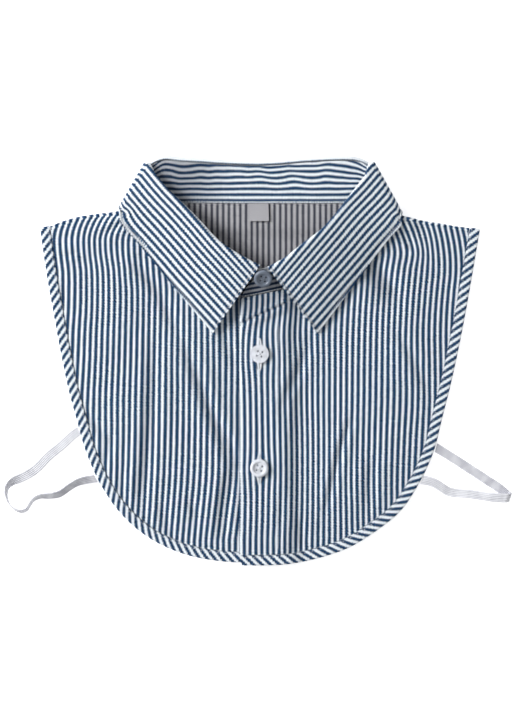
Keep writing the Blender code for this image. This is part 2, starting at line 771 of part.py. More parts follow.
def button_mesh():
    """Half section of a button, from the middle of its well out to the rim and back under."""
    profile = [
        (0.0, BUTTON_WELL),
        (BUTTON_RADIUS * 0.55, BUTTON_WELL),
        (BUTTON_RADIUS * 0.70, BUTTON_RIM),
        (BUTTON_RADIUS * 0.88, BUTTON_RIM),
        (BUTTON_RADIUS, BUTTON_RIM * 0.62),
        (BUTTON_RADIUS, BUTTON_RIM * 0.40),
        (BUTTON_RADIUS * 0.85, 0.0),
        (0.0, 0.0),
    ]
    work = bmesh.new()
    vertices = [work.verts.new((x * MM, 0.0, z * MM)) for x, z in profile]
    for first, second in zip(vertices, vertices[1:]):
        work.edges.new((first, second))
    mesh = bpy.data.meshes.new("button")
    work.to_mesh(mesh)
    work.free()
    return mesh


def make_button(name, seat, normal, collection, cutters):
    """A four-hole button whose underside's middle is on its seat."""
    piece = new_object(name, button_mesh(), "button_shell", collection)
    screw = piece.modifiers.new("Turn", "SCREW")
    screw.steps = screw.render_steps = BUTTON_SIDES
    screw.use_merge_vertices = True
    screw.merge_threshold = 0.00001
    piece.location = seat * MM
    tilt = math.atan2(math.hypot(normal[0], normal[1]), normal[2])
    heading = math.atan2(normal[1], normal[0])
    piece.rotation_euler = (0.0, tilt, heading)
    bpy.context.view_layer.update()
    for index in range(BUTTON_HOLES):
        angle = math.radians(360 / BUTTON_HOLES * index + BUTTON_HOLE_TURN) - heading
        mesh = bpy.data.meshes.new(f"{name}_hole_{index}")
        work = bmesh.new()
        bmesh.ops.create_cone(
            work,
            cap_ends=True,
            segments=BUTTON_HOLE_SIDES,
            radius1=BUTTON_HOLE * MM,
            radius2=BUTTON_HOLE * MM,
            depth=4 * BUTTON_RIM * MM,
        )
        work.to_mesh(mesh)
        work.free()
        cutter = bpy.data.objects.new(mesh.name, mesh)
        cutters.objects.link(cutter)
        cutter.hide_render = True
        cutter.display_type = "WIRE"
        cutter.parent = piece
        spread = BUTTON_HOLE_SPREAD * MM
        cutter.location = (spread * math.cos(angle), spread * math.sin(angle), 0.0)
        hole = piece.modifiers.new(f"Hole {index}", "BOOLEAN")
        hole.operation = "DIFFERENCE"
        hole.object = cutter
    return piece


def make_buttons(stand, collection, cutters):
    """Two buttons on the placket, and one that lies square on the stand's over end."""
    lift = PANEL_WALL / 2 + GAP
    for name, (x, y) in PLACKET_BUTTONS.items():
        seat = np.array([x, y, front_height("right", x, y) + lift])
        make_button(name, seat, UP, collection, cutters)
    grid = np.array(stand)
    over = grid[len(grid) // 2 :]
    away = np.linalg.norm(over[:, 1:-1, :2] - STAND_BUTTON, axis=2)
    i, j = np.unravel_index(away.argmin(), away.shape)
    j += 1
    along = over[min(i + 1, len(over) - 1), j] - over[i - 1, j]
    down = over[i, j + 1] - over[i, j - 1]
    normal = unit(np.cross(along, down))
    normal = normal if normal[2] > 0 else -normal
    x, y = STAND_BUTTON
    offset = over[i, j][:2] - STAND_BUTTON
    z = over[i, j][2] + offset @ normal[:2] / normal[2]
    seat = np.array([x, y, z]) + normal * (COLLAR_WALL / 2 + 2 * GAP)
    make_button("button_stand", seat, normal, collection, cutters)


def centre_on_origin(collection):
    """Hangs every piece on one empty and moves it so that the whole stands on the origin."""
    pieces = list(collection.objects)
    base = bpy.data.objects.new("garment", None)
    collection.objects.link(base)
    graph = bpy.context.evaluated_depsgraph_get()
    corners = []
    for piece in pieces:
        seen = piece.evaluated_get(graph)
        corners += [seen.matrix_world @ vertex.co for vertex in seen.data.vertices]
        piece.parent = base
    points = np.array(corners)
    low, high = points.min(axis=0), points.max(axis=0)
    base.location = (-(low[0] + high[0]) / 2, -(low[1] + high[1]) / 2, -low[2])
    bpy.context.view_layer.update()


def main():
    for old in list(bpy.data.objects):
        bpy.data.objects.remove(old, do_unlink=True)
    garment = bpy.data.collections.new("detachable_shirt_collar")
    cutters = bpy.data.collections.new("cutters")
    for collection in (garment, cutters):
        bpy.context.scene.collection.children.link(collection)
    cutters.hide_render = True
    stations = collar_stations()
    make_back_panel(stations, garment)
    make_front_right(garment)
    make_front_left(garment)
    make_binding(garment)
    make_collar_fall(stations, garment)
    stand = stand_rows(stations)
    cloth("collar_stand", stand, COLLAR_WALL, "striped_cotton", garment)
    make_size_label(garment)
    for name in ELASTICS:
        make_elastic(name, garment)
    make_buttons(stand, garment, cutters)
    centre_on_origin(garment)


main()
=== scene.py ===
import math
import bpy
import numpy as np
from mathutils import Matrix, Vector, noise


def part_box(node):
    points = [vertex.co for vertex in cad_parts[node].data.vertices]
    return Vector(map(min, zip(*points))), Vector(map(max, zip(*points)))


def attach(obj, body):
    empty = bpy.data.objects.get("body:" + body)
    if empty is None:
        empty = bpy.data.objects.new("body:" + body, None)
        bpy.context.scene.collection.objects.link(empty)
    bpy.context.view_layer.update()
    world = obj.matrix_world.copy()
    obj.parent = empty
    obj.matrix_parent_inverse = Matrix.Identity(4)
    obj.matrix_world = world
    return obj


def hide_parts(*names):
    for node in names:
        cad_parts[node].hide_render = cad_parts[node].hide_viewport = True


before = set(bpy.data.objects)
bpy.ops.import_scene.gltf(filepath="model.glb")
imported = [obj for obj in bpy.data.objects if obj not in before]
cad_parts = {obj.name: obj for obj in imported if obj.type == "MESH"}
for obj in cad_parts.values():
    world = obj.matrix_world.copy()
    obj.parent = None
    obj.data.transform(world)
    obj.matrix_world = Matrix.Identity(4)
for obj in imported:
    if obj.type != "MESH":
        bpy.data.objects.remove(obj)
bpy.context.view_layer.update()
mm = 0.001

# Lengths are millimetres from the middle of the garment: x to the right, y to the neck, z to the viewer.
# "Left" and "right" are the viewer's. Stripe places are counted in stripes, so navy lies on whole numbers.
layers = {
    "backMiddle": 0.5,
    "frontAboveBack": 1.3,
    "fallLift": 1.7,  # the back rises over the part of the collar folded under it
    "fallRows": (76.0, 83.0),
    "fallSides": (92.0, 101.0),
    "overlapLift": 3.3,  # the buttoned front rises over the other
    "overlapEnds": (14.0, 27.0),
    "neckRise": 2.4,
    "neckReach": 13.0,
    "puff": 1.3,  # how far the cloth stands up between its edges
    "puffFrom": (4.0, 32.0),
    "leftPuffFrom": (12.5, 34.0),
    "creasesFrom": (6.0, 14.0),
    "deepestCrease": -0.2,
    "frontBinding": 2.15,
    "backBinding": 0.6,
    "bindingLap": 2.65,
    "bindingWidth": 6.3,
    "gap": 0.3,
    "seamGap": 0.8,
    "backInset": 1.5,
}
stripes = {"pitch": 3.7, "backPitch": 3.54, "backStart": -29.3}
inward = {"left": 1, "right": -1}


def smooth(value, low, high):
    share = np.clip((np.asarray(value, float) - low) / (high - low), 0.0, 1.0)
    return share * share * (3 - 2 * share)


def unit(vectors):
    vectors = np.asarray(vectors, float)
    return vectors / np.maximum(np.linalg.norm(vectors, axis=-1, keepdims=True), 1e-9)


def evenly(count):
    return np.linspace(0.0, 1.0, count + 1)


def mix(first, second, share):
    return np.asarray(first, float) * (1 - share) + np.asarray(second, float) * share


def hump(value, width):
    return np.exp(-((value / width) ** 2))


def atHeight(xy, z):
    return np.concatenate([xy, z[..., None]], axis=-1)


class Curve:
    # A smooth curve through a table's rows, by share of its length in plan, or of its rows if even
    def __init__(self, rows, even=False):
        self.rows = np.array(rows, float)
        steps = np.linalg.norm(np.diff(self.rows[:, :2], axis=0), axis=1)
        steps = np.ones(len(steps)) if even else steps
        self.places = np.concatenate([[0.0], np.cumsum(steps)]) / steps.sum()
        self.slopes = np.gradient(self.rows, self.places, axis=0)

    def at(self, share):
        share = np.clip(np.asarray(share, float), 0.0, 1.0)
        i = np.clip(np.searchsorted(self.places, share, side="right") - 1, 0, len(self.rows) - 2)
        span = (self.places[i + 1] - self.places[i])[..., None]
        t = (share - self.places[i])[..., None] / span
        return (
            (2 * t**3 - 3 * t**2 + 1) * self.rows[i]
            + (t**3 - 2 * t**2 + t) * span * self.slopes[i]
            + (3 * t**2 - 2 * t**3) * self.rows[i + 1]
            + (t**3 - t**2) * span * self.slopes[i + 1]
        )

    def heading(self, share):
        share = np.asarray(share, float)
        return unit((self.at(share + 0.002) - self.at(share - 0.002))[..., :2])

    def beside(self, share, distance):
        ahead = self.heading(share)
        left = np.stack([-ahead[..., 1], ahead[..., 0]], axis=-1)
        return self.at(share)[..., :2] + np.asarray(distance, float)[..., None] * left


# The front's outer edge from the shoulder tip down and round to the centre: left x, left y, right x, right y
outline = [
    (-135.9, 81.5, 137.0, 80.3), (-132.1, 54.9, 132.7, 54.9), (-127.4, 28.2, 128.0, 28.2),
    (-122.8, 3.4, 123.1, 3.4), (-118.1, -18.9, 118.1, -18.9), (-113.2, -36.9, 113.5, -36.9),
    (-107.9, -55.5, 108.8, -55.5), (-98.6, -76.6, 99.2, -76.6), (-87.4, -93.3, 87.4, -93.9),
    (-72.5, -107.3, 72.5, -106.0), (-57.7, -115.9, 56.4, -115.9), (-43.1, -121.2, 39.1, -122.1),
    (-23.6, -124.6, 19.2, -126.2), (12.4, -125.4, -10.9, -127.3),
]
hemCentre = (0.0, -124.6)
shoulderFold = [
    (-122.5, 85.0, 120.9, 82.3), (-102.7, 89.2, 102.9, 85.1), (-86.0, 91.0, 87.4, 88.2), (-82.0, 91.8, 83.0, 89.0)
]
shoulderSeam = [(-110.6, 67.0, 114.7, 64.8), (-90.5, 72.8, 91.5, 72.0)]
# The collar from its front end to the side: fold x, y, z, leaf edge x, y, z, neck seam x, y
collarRows = {
    "left": [
        (0.9, 59.2, 14.5, -28.5, 17.1, 4.8, -1.9, 41.2), (-9.9, 64.8, 15.0, -34.7, 24.5, 5.0, -16.0, 43.8),
        (-24.8, 74.7, 15.0, -44.6, 36.3, 5.3, -34.0, 49.0), (-36.6, 87.1, 14.0, -54.6, 48.0, 5.6, -49.0, 56.5),
        (-48.4, 98.9, 12.4, -65.1, 61.1, 6.0, -61.0, 65.0), (-56.4, 106.6, 10.8, -75.0, 73.0, 6.5, -70.0, 75.0),
        (-62.6, 114.2, 8.8, -83.6, 82.8, 7.0, -76.0, 84.0), (-66.0, 118.8, 7.2, -87.4, 87.4, 7.3, -79.0, 89.2),
        (-67.3, 122.2, 6.1, -86.4, 91.2, 7.4, -80.0, 92.2),
    ],
    "right": [
        (5.0, 58.0, 16.4, 36.3, 17.1, 4.9, 9.0, 43.5), (14.3, 62.9, 16.4, 41.5, 23.9, 5.1, 20.0, 45.8),
        (27.9, 73.5, 15.6, 50.8, 36.3, 5.4, 35.0, 49.5), (37.8, 80.9, 14.4, 60.1, 48.7, 5.7, 50.0, 56.5),
        (49.0, 93.3, 12.4, 69.4, 61.1, 6.0, 62.0, 65.0), (57.0, 103.8, 10.8, 77.5, 72.0, 6.5, 71.0, 74.5),
        (63.6, 112.4, 8.8, 85.2, 81.2, 7.0, 77.0, 82.0), (66.8, 118.0, 7.2, 89.0, 85.6, 7.3, 80.0, 86.4),
        (67.9, 122.2, 6.1, 88.0, 88.6, 7.4, 81.0, 89.4),
    ],
}
# The stand's rounded ends in front of the leaves: top x, y, z, seam x, y
standEnd = {
    "left": [(5.6, 57.2, 12.9, 4.0, 41.9), (9.8, 52.5, 10.6, 8.6, 42.6), (12.0, 47.4, 7.4, 12.4, 43.1)],
    "right": [(2.6, 55.6, 15.0, 0.4, 41.6), (-2.6, 50.8, 12.2, -5.6, 40.5), (-8.4, 44.4, 9.4, -10.9, 39.6)],
}
# Behind the neck: top fold x, y, folded-under edge x, y, neck seam x, y
backFold = [
    (-62.2, 126.4, -72.0, 87.4, -71.0, 97.4), (-48.4, 126.2, -52.0, 87.8, -52.0, 97.9),
    (-18.0, 124.3, -18.0, 88.0, -18.0, 97.9), (0.0, 123.8, 0.0, 88.0, 0.0, 97.9),
    (37.8, 126.4, 38.0, 88.0, 38.0, 97.9), (53.6, 126.8, 57.0, 87.8, 57.0, 97.8),
    (62.6, 126.0, 72.0, 87.0, 71.0, 97.0),
]


def sideOf(rows, side):
    return [row[:2] if side == "left" else row[2:] for row in rows]


edge = {side: Curve(sideOf(outline, side)) for side in inward}
neck = {
    side: Curve([row[6:] for row in reversed(collarRows[side])] + [row[3:] for row in standEnd[side]])
    for side in inward
}
neckPoints = np.concatenate([neck[side].at(evenly(60)) for side in inward])
edgePoints = np.concatenate([edge[side].at(evenly(90)) for side in inward])


def makeBackEdge():
    places = np.array([0.0, 0.05, 0.1, 0.2, 0.3, 0.4, 0.5, 0.58, 0.64, 0.7, 0.76, 0.84, 0.9])
    halves = {}
    for side in inward:
        halves[side] = edge[side].beside(places, inward[side] * layers["backInset"] * smooth(places, 0.0, 0.1))
    return Curve([*halves["left"], hemCentre, *halves["right"][::-1]])


backEdge = makeBackEdge()


def nearest(points, xy):
    flat = xy.reshape(-1, 2)
    best = np.full(len(flat), 1e9)
    for point in points:
        best = np.minimum(best, ((flat - point) ** 2).sum(axis=1))
    return np.sqrt(best).reshape(xy.shape[:-1])


def backHeight(xy):
    over = smooth(xy[..., 1], *layers["fallRows"]) * (1 - smooth(np.abs(xy[..., 0]), *layers["fallSides"]))
    return layers["backMiddle"] + layers["fallLift"] * over


# The fronts' main creases: side, width, depth (below zero stands up), and the places that each runs through
creases = [
    ("left", 3.5, 1.4, [
        (-45.9, 9.6), (-42.2, -0.9), (-36.0, -15.8), (-31.0, -29.5), (-26.0, -40.6), (-20.5, -50.5),
        (-15.5, -64.2), (-18.8, -77.8), (-22.3, -92.7), (-22.9, -108.8),
    ]),
    ("left", 3.0, 1.0, [(-22.9, 18.9), (-18.6, 6.5), (-15.5, -4.7)]),
    ("left", 4.0, 1.4, [(-65.7, 9.6), (-67.0, -36.9), (-69.4, -56.7), (-71.3, -77.2), (-72.5, -95.8)]),
    ("left", 3.4, 0.9, [(-61.4, -86.5), (-55.2, -111.3)]),
    ("left", 3.4, 1.0, [
        (-73.8, 66.0), (-75.6, 57.4), (-67.6, 48.7), (-61.4, 40.0), (-55.2, 26.4), (-49.0, 15.8),
    ]),
    ("left", 2.8, 1.0, [(-111.0, -27.0), (-103.5, -39.4), (-93.6, -49.3)]),
    ("left", 3.0, 1.0, [(-91.1, -44.3), (-93.6, -55.5), (-99.8, -66.7)]),
    ("left", 3.0, 0.8, [(-85.0, -68.0), (-86.0, -86.5)]),
    ("left", 3.0, 1.0, [(-42.8, -86.5), (-39.0, -98.9)]),
    ("left", 3.0, 0.9, [(-123.0, 48.0), (-122.0, 34.0)]),
    ("left", 9.0, -0.6, [(-90.0, 60.0), (-84.0, 20.0)]),
    ("left", 2.0, 2.4, [(-98.0, 77.5), (-84.0, 85.0)]), ("left", 1.8, 2.2, [(-122.0, 64.5), (-111.0, 68.5)]),
    ("right", 2.7, 0.75, [
        (31.6, 15.8), (30.4, 6.5), (26.0, -3.4), (21.7, -12.1), (16.7, -20.8), (13.9, -29.5), (15.2, -42.0),
    ]),
    ("right", 2.2, 1.0, [
        (57.7, -35.7), (53.3, -46.8), (50.2, -56.7), (47.7, -67.9), (44.6, -81.5), (41.5, -92.2),
    ]),
    ("right", 3.6, 0.9, [(70.1, -61.7), (68.8, -74.1), (68.2, -89.6)]),
    ("right", 3.2, 0.8, [(86.2, 15.8), (93.0, 5.3), (98.0, -4.7), (102.9, -14.6), (106.6, -24.0)]),
    ("right", 2.6, 0.7, [(14.3, -84.5), (12.9, -104.0)]), ("right", 2.6, 0.5, [(25.4, -98.9), (27.3, -114.4)]),
    ("right", 6.5, 2.2, [(70.1, 57.4), (76.0, 48.0), (83.1, 37.5)]),
    ("right", 2.0, 2.2, [(86.5, 83.0), (95.0, 71.0)]), ("right", 2.6, 0.7, [(100.0, 84.0), (118.0, 76.0)]),
    ("right", 2.6, -1.1, [(-8.0, 23.5), (17.4, 34.6)]),
]
# How far a crease's sides stand up as a share of its depth, at how many widths, and where its two ends fade
creaseLooks = {"rise": 0.5, "sidesAt": 1.9, "begins": (-0.2, 0.25), "ends": (0.75, 1.2)}


def alongRows(points):
    steps = np.linalg.norm(np.diff(points, axis=0), axis=1)
    return np.concatenate([[0.0], np.cumsum(steps)])


def besideLine(line, xy):
    # How far each place is from a line of points, and where along the line that is, from 0 to 1
    lengths = alongRows(line)
    away, place = np.full(xy.shape[:-1], 1e9), np.zeros(xy.shape[:-1])
    for k in range(len(line) - 1):
        along = line[k + 1] - line[k]
        share = np.clip(((xy - line[k]) @ along) / (along @ along), 0.0, 1.0)
        found = np.linalg.norm(xy - line[k] - share[..., None] * along, axis=-1)
        place = np.where(found < away, lengths[k] + share * (lengths[k + 1] - lengths[k]), place)
        away = np.minimum(found, away)
    return away, place / lengths[-1]


def creaseDepth(side, xy):
    total = np.zeros(xy.shape[:-1])
    for owner, width, depth, places in creases:
        if owner != side:
            continue
        away, share = besideLine(np.array(places), xy)
        fade = smooth(share, *creaseLooks["begins"]) * (1 - smooth(share, *creaseLooks["ends"]))
        sides = hump(away - creaseLooks["sidesAt"] * width, width)
        total += depth * fade * (hump(away, width) - creaseLooks["rise"] * sides)
    return total


def frontHeight(side, xy):
    nearNeck = hump(nearest(neckPoints, xy), layers["neckReach"])
    fromEdge = nearest(edgePoints, xy)
    puff = layers["puff"] * smooth(fromEdge, *layers["puffFrom"]) * (1 - nearNeck)
    lift = 0.0
    if side == "left":
        puff = puff * smooth(-xy[..., 0], *layers["leftPuffFrom"])
    else:
        lift = layers["overlapLift"] * (1 - smooth(xy[..., 0], *layers["overlapEnds"]))
    creased = puff - creaseDepth(side, xy) * smooth(fromEdge, *layers["creasesFrom"])
    ripple = np.maximum(creased, layers["deepestCrease"])
    return backHeight(xy) + layers["frontAboveBack"] + lift + layers["neckRise"] * nearNeck + ripple


def wander(points, scale, seed):
    # Smooth noise between -1 and 1 whose size is scale, across and up
    flat = points.reshape(-1, points.shape[-1])
    values = [noise.noise(Vector((p[0] / scale[0], p[1] / scale[1], seed))) for p in flat]
    return np.array(values).reshape(points.shape[:-1])


# How far the fronts' stripes wander from upright, in millimetres to the right, down each front
lean = {
    "finer": 90,
    "heights": [91.8, 88.4, 84.6, 77.2, 68.5, 56.1, 43.7, 31.3, 18.9, 0.3, -24.5, -49.3, -74.1, -92.7, -111.3],
    "left": {
        -110.0: [9.0, 5.6, 3.6, 1.5, 1.6, 3.0, 3.2, 2.9, 2.1, 1.4, 0.0, -0.2, -0.9, -1.6, -2.5],
        -94.5: [9.0, 5.6, 3.4, 0.1, -0.1, 1.7, 2.1, 2.0, 1.5, 1.0, 0.0, 0.1, -0.4, -1.6, -3.1],
        -79.7: [9.0, 5.6, 3.4, -0.3, -0.7, 0.4, 1.4, 1.4, 1.1, 0.7, 0.0, -0.3, -1.1, -2.0, -3.7],
        -49.9: [9.0, 5.6, 3.0, -0.6, -0.9, -0.6, 0.4, 0.3, 0.2, 0.0, 0.0, -0.4, -1.3, -2.7, -4.2],
        -20.7: [9.0, 5.6, 3.0, -0.6, -0.9, -0.8, -0.6, -0.4, -0.1, 0.2, 0.0, -0.2, -0.7, -2.7, -5.0],
    },
    "right": {
        -9.0: [0.0, 0.0, 0.0, 0.3, 1.5, 1.8, 1.8, 1.5, -0.3, -0.7, 0.0, 0.2, 0.4, 0.4, -0.1],
        26.2: [-6.0, -3.6, -1.8, 0.5, 1.9, 1.2, 0.6, 0.0, -0.7, -0.1, 0.0, 0.6, 0.7, 0.4, -0.2],
        57.8: [-6.0, -3.6, -1.8, 2.5, 2.5, 2.1, 2.0, 1.2, 0.6, 0.2, 0.0, -0.4, -0.6, -0.2, 0.2],
        76.1: [-6.0, -3.6, -1.8, 2.5, 4.3, 3.1, 2.0, 1.1, 0.6, 0.3, 0.0, -0.7, -1.2, -0.9, -0.6],
        95.2: [-6.0, -3.6, -1.8, 1.4, 4.1, 2.3, 1.0, 0.1, -0.6, -0.4, 0.0, -1.4, -2.3, -2.5, -2.5],
        109.4: [-6.0, -3.6, -1.8, 0.2, 1.6, 2.2, 1.1, 0.1, -0.4, -0.2, 0.0, -0.6, -1.2, -1.9, -2.5],
    },
}
# Where the stripes lie across the fronts' middle: x, and how many stripes that is
stripePlaces = {
    "left": ([-110.0, -17.1], [0.0, 25.0]),
    "right": (
        [-9.0, 12.7, 26.2, 36.6, 57.8, 76.1, 95.2, 109.4], [26.0, 32.0, 36.0, 39.0, 45.0, 50.0, 55.0, 59.0]
    ),
}
# The stripes part round the two buttons on the placket
bulge = {"centres": [(0.4, 2.5), (0.2, -68.0)], "share": 0.2, "reach": 8.0, "squash": 0.8}
# The crease across the placket where the neck opening falls away: its course, the painted shade above it and the
# painted dark line along it, and a step in the stripes
neckCrease = {
    "x": -9.9, "start": 23.9, "slope": 0.445,
    "shade": 0.46, "shadeRows": (-0.4, 0.9), "shadeEnds": (14.5, 22.0),
    "line": 0.85, "lineWidth": 0.9, "lineEnds": (15.0, 19.0),
    "step": 0.9, "stepRows": (-0.3, 0.5), "stepEnds": (14.0, 20.0),
}


def neckCreaseAt(x):
    return neckCrease["start"] + (x - neckCrease["x"]) * neckCrease["slope"]


def aboveNeckCrease(x, y, what):
    low, high = neckCrease[what + "Rows"]
    above = smooth(y, neckCreaseAt(x) + low, neckCreaseAt(x) + high)
    return neckCrease[what] * (above * (1 - smooth(x, *neckCrease[what + "Ends"])))


def frontStripe(side, xy):
    x, y = xy[..., 0], xy[..., 1]
    if side == "right":
        for centreX, centreY in bulge["centres"]:
            away = np.hypot(x - centreX, (y - centreY) * bulge["squash"])
            x = x - bulge["share"] * (x - centreX) * hump(away, bulge["reach"])
        x = x + aboveNeckCrease(x, y, "step")
    heights = lean["heights"][::-1]
    columns = sorted(lean[side])
    leans = []
    for column in columns:
        fine = Curve(list(zip(heights, lean[side][column][::-1]))).at(evenly(lean["finer"]))
        leans.append(np.interp(y, *fine.T))
    leans = np.stack(leans)
    # Between two columns: the one before, and the share of the way to the next
    at = np.clip(np.interp(x, columns, range(len(columns))), 0, len(columns) - 1.001)
    i = at.astype(int)
    before = np.take_along_axis(leans, i[None], 0)[0]
    after = np.take_along_axis(leans, i[None] + 1, 0)[0]
    x = x - (before * (1 - (at - i)) + after * (at - i))
    places, counts = (np.array(row) for row in stripePlaces[side])
    slope = np.diff(counts) / np.diff(places)
    found = np.interp(x, places, counts)
    found = np.where(x < places[0], counts[0] + (x - places[0]) * slope[0], found)
    return np.where(x > places[-1], counts[-1] + (x - places[-1]) * slope[-1], found)


class Value:
    # A socket that can be used in sums
    def __init__(self, shader, socket):
        self.shader, self.socket = shader, socket

    def __add__(self, other):
        return self.shader.maths("ADD", self, other)

    def __sub__(self, other):
        return self.shader.maths("SUBTRACT", self, other)

    def __rsub__(self, other):
        return self.shader.maths("SUBTRACT", other, self)

    def __mul__(self, other):
        return self.shader.maths("MULTIPLY", self, other)

    __radd__ = __add__


class Shader:
    def __init__(self, name):
        self.material = bpy.data.materials.new(name)
        self.material.use_nodes = True
        self.tree = self.material.node_tree
        self.surface = self.tree.nodes["Principled BSDF"]

    def node(self, kind, settings=None, inputs=None):
        made = self.tree.nodes.new(kind)
        for key, value in (settings or {}).items():
            if key == "stops":
                for place, colour in value:
                    stop = made.color_ramp.elements.new(place)
                    stop.color = (*colour, 1.0)
                made.color_ramp.elements.remove(made.color_ramp.elements[0])
                made.color_ramp.elements.remove(made.color_ramp.elements[-1])
            else:
                setattr(made, key, value)
        for key, value in (inputs or {}).items():
            self.feed(made.inputs[key], value)
        return made

    def feed(self, socket, value):
        if isinstance(value, Value):
            self.tree.links.new(value.socket, socket)
        elif isinstance(value, tuple) and len(value) == 3 and socket.type == "RGBA":
            socket.default_value = (*value, 1.0)
        else:
            socket.default_value = value

    def maths(self, operation, *values):
        made = self.node("ShaderNodeMath", {"operation": operation}, dict(enumerate(values)))
        return Value(self, made.outputs[0])

    def out(self, kind, settings=None, inputs=None, name=0):
        return Value(self, self.node(kind, settings, inputs).outputs[name])

    def blendColours(self, share, first, second, how="MIX"):
        settings = {"data_type": "RGBA", "blend_type": how}
        return self.out("ShaderNodeMix", settings, {0: share, 6: first, 7: second}, 2)

    def ramp(self, value, low, high):
        inputs = {"Value": value, "From Min": low, "From Max": high}
        return self.out("ShaderNodeMapRange", {"interpolation_type": "SMOOTHSTEP"}, inputs)

    def noise(self, vector, scale, detail=2.0, roughness=0.5):
        inputs = {"Vector": vector, "Scale": scale, "Detail": detail, "Roughness": roughness}
        return self.out("ShaderNodeTexNoise", None, inputs)

    def wave(self, value, turns):
        return self.maths("SINE", value * (2 * math.pi * turns)) * 0.5 + 0.5

    def bump(self, height, distance, under=None):
        inputs = {"Height": height, "Distance": distance}
        if under is not None:
            inputs["Normal"] = under
        return self.out("ShaderNodeBump", None, inputs, "Normal")

    def objectPlace(self):
        return self.out("ShaderNodeTexCoord", None, None, "Object")

    def mapPlace(self):
        # The place on the piece's own map, and its two parts
        place = self.out("ShaderNodeUVMap")
        parts = self.node("ShaderNodeSeparateXYZ", None, {0: place})
        return place, Value(self, parts.outputs[0]), Value(self, parts.outputs[1])

    def stretched(self, across, along):
        return self.out("ShaderNodeCombineXYZ", None, {0: across, 1: along})

    def finish(self, **values):
        for key, value in values.items():
            self.feed(self.surface.inputs[key.replace("_", " ")], value)
        return self.material


cottonLooks = {
    # Navy, paler navy threads, white, and a greyer white that shows in random patches
    "outside": [(0.003, 0.008, 0.022), (0.040, 0.118, 0.265), (0.825, 0.870, 0.905), (0.690, 0.745, 0.800)],
    # The back's inner face: its greys are painted shade, for the shade inside the neck
    "inside": [(0.036, 0.039, 0.058), (0.095, 0.098, 0.122), (0.450, 0.447, 0.466), (0.355, 0.352, 0.365)],
    # The grey that the painted shade tints the cloth towards
    "paintedShadeTint": (0.32, 0.31, 0.33),
    "navyShare": {"panel": 0.59, "collar": 0.535, "binding": 0.54, "inside": 0.48},
    "yarnsPerStripe": 14,
    "softness": 0.055,
    # How far the stripes' edges wander, in stripes
    "waver": 0.06,
    "fuzz": 0.20,
    "twillStep": 0.17,
    # How much each of these pales the navy
    "palers": {"slub": 0.12, "speck": 0.34, "rim": 0.24, "twill": 0.52},
    "weaveDepth": 0.00006,
    "crumpleDepth": 0.00035,
}


def makeCotton(name, colours, navyShare):
    # The map counts stripes across (x) and the same length along (y)
    s = Shader(name)
    looks = cottonLooks
    navy, navyWorn, white, greyerWhite = colours
    place, across, along = s.mapPlace()
    waver = s.noise(place, 0.55, 2.0) - 0.5
    fuzz = s.noise(place, 3.4, 2.0) - 0.5
    twill = s.wave(along * 2.3 + across * 1.2 + s.noise(place, 0.8, 1.0) * 1.5, 1.0)
    moved = across + waver * looks["waver"] + fuzz * looks["fuzz"] + (twill - 0.5) * looks["twillStep"]
    fromNavy = s.maths("ABSOLUTE", s.maths("FRACT", moved + 0.5) - 0.5)
    half = navyShare / 2
    mask = 1 - s.ramp(fromNavy, half - looks["softness"], half + looks["softness"])
    slub = s.ramp(s.noise(s.stretched(across * 1.6, along), 2.6, 3.0, 0.65), 0.40, 0.68)
    speck = s.ramp(s.noise(place, 3.6, 2.0, 0.7), 0.46, 0.66)
    rim = s.ramp(fromNavy, half * 0.45, half * 1.05)
    palers = looks["palers"]
    pale = slub * palers["slub"] + speck * palers["speck"] + rim * palers["rim"] + twill * palers["twill"]
    dark = s.blendColours(s.maths("MINIMUM", pale, 1.0), navy, navyWorn)
    greyerPatches = s.ramp(s.noise(place, 1.1, 3.0), 0.42, 0.75)
    light = s.blendColours(greyerPatches * 0.6 + speck * 0.25, white, greyerWhite)
    colour = s.blendColours(mask, light, dark)
    # Painted shade: the colour is darkened towards that grey where the mesh's painted shade is high
    hollow = s.out("ShaderNodeAttribute", {"attribute_name": "hollow"}, None, "Fac")
    colour = s.blendColours(hollow, colour, looks["paintedShadeTint"], "MULTIPLY")
    turns = looks["yarnsPerStripe"] / 2
    weave = s.wave(across, turns) * s.wave(along, turns)
    weave = weave + (1 - s.wave(across, turns)) * (1 - s.wave(along, turns))
    crumple = s.noise(place, 0.35, 4.0, 0.6)
    surface = s.bump(crumple, looks["crumpleDepth"], s.bump(weave, looks["weaveDepth"]))
    return s.finish(
        Base_Color=colour, Roughness=0.86 + speck * 0.10, Normal=surface, Specular_IOR_Level=0.12,
        Sheen_Weight=0.03, Sheen_Roughness=0.5,
    )


def makeThread(name, dark, pale):
    s = Shader(name)
    tone = s.ramp(s.noise(s.objectPlace(), 900.0, 2.0), 0.3, 0.7)
    colour = s.blendColours(tone, dark, pale)
    bumps = s.bump(tone, 0.00008)
    return s.finish(Base_Color=colour, Roughness=0.6 + tone * 0.2, Normal=bumps, Specular_IOR_Level=0.3)


def makeButtonShell(name, pale, gloss):
    s = Shader(name)
    swirl = s.ramp(s.noise(s.objectPlace(), 260.0, 3.0, 0.6), 0.3, 0.7)
    colour = s.blendColours(swirl, tuple(0.60 * v for v in pale), tuple(0.82 * v for v in pale))
    return s.finish(
        Base_Color=colour, Roughness=0.34 - 0.4 * gloss + swirl * 0.10, Normal=s.bump(swirl, 0.00003),
        Coat_Weight=gloss, Coat_Roughness=0.10,
    )


def makeSatin():
    s = Shader("labelSatin")
    across, along = s.mapPlace()[1:]
    # Painted sheen: the colour is lighter in streaks along the label
    paintedSheenStreaks = s.ramp(s.noise(s.stretched(across * 9.0, along), 2.0, 2.0), 0.3, 0.7)
    # Painted shade: the label is grey for the shade it lies in inside the neck
    colour = s.blendColours(paintedSheenStreaks, (0.315, 0.310, 0.335), (0.400, 0.400, 0.425))
    lines = s.wave(across, 9.0) * 0.6 + s.wave(along, 12.0) * 0.4
    return s.finish(Base_Color=colour, Roughness=0.36 + paintedSheenStreaks * 0.12, Normal=s.bump(lines, 0.00004))


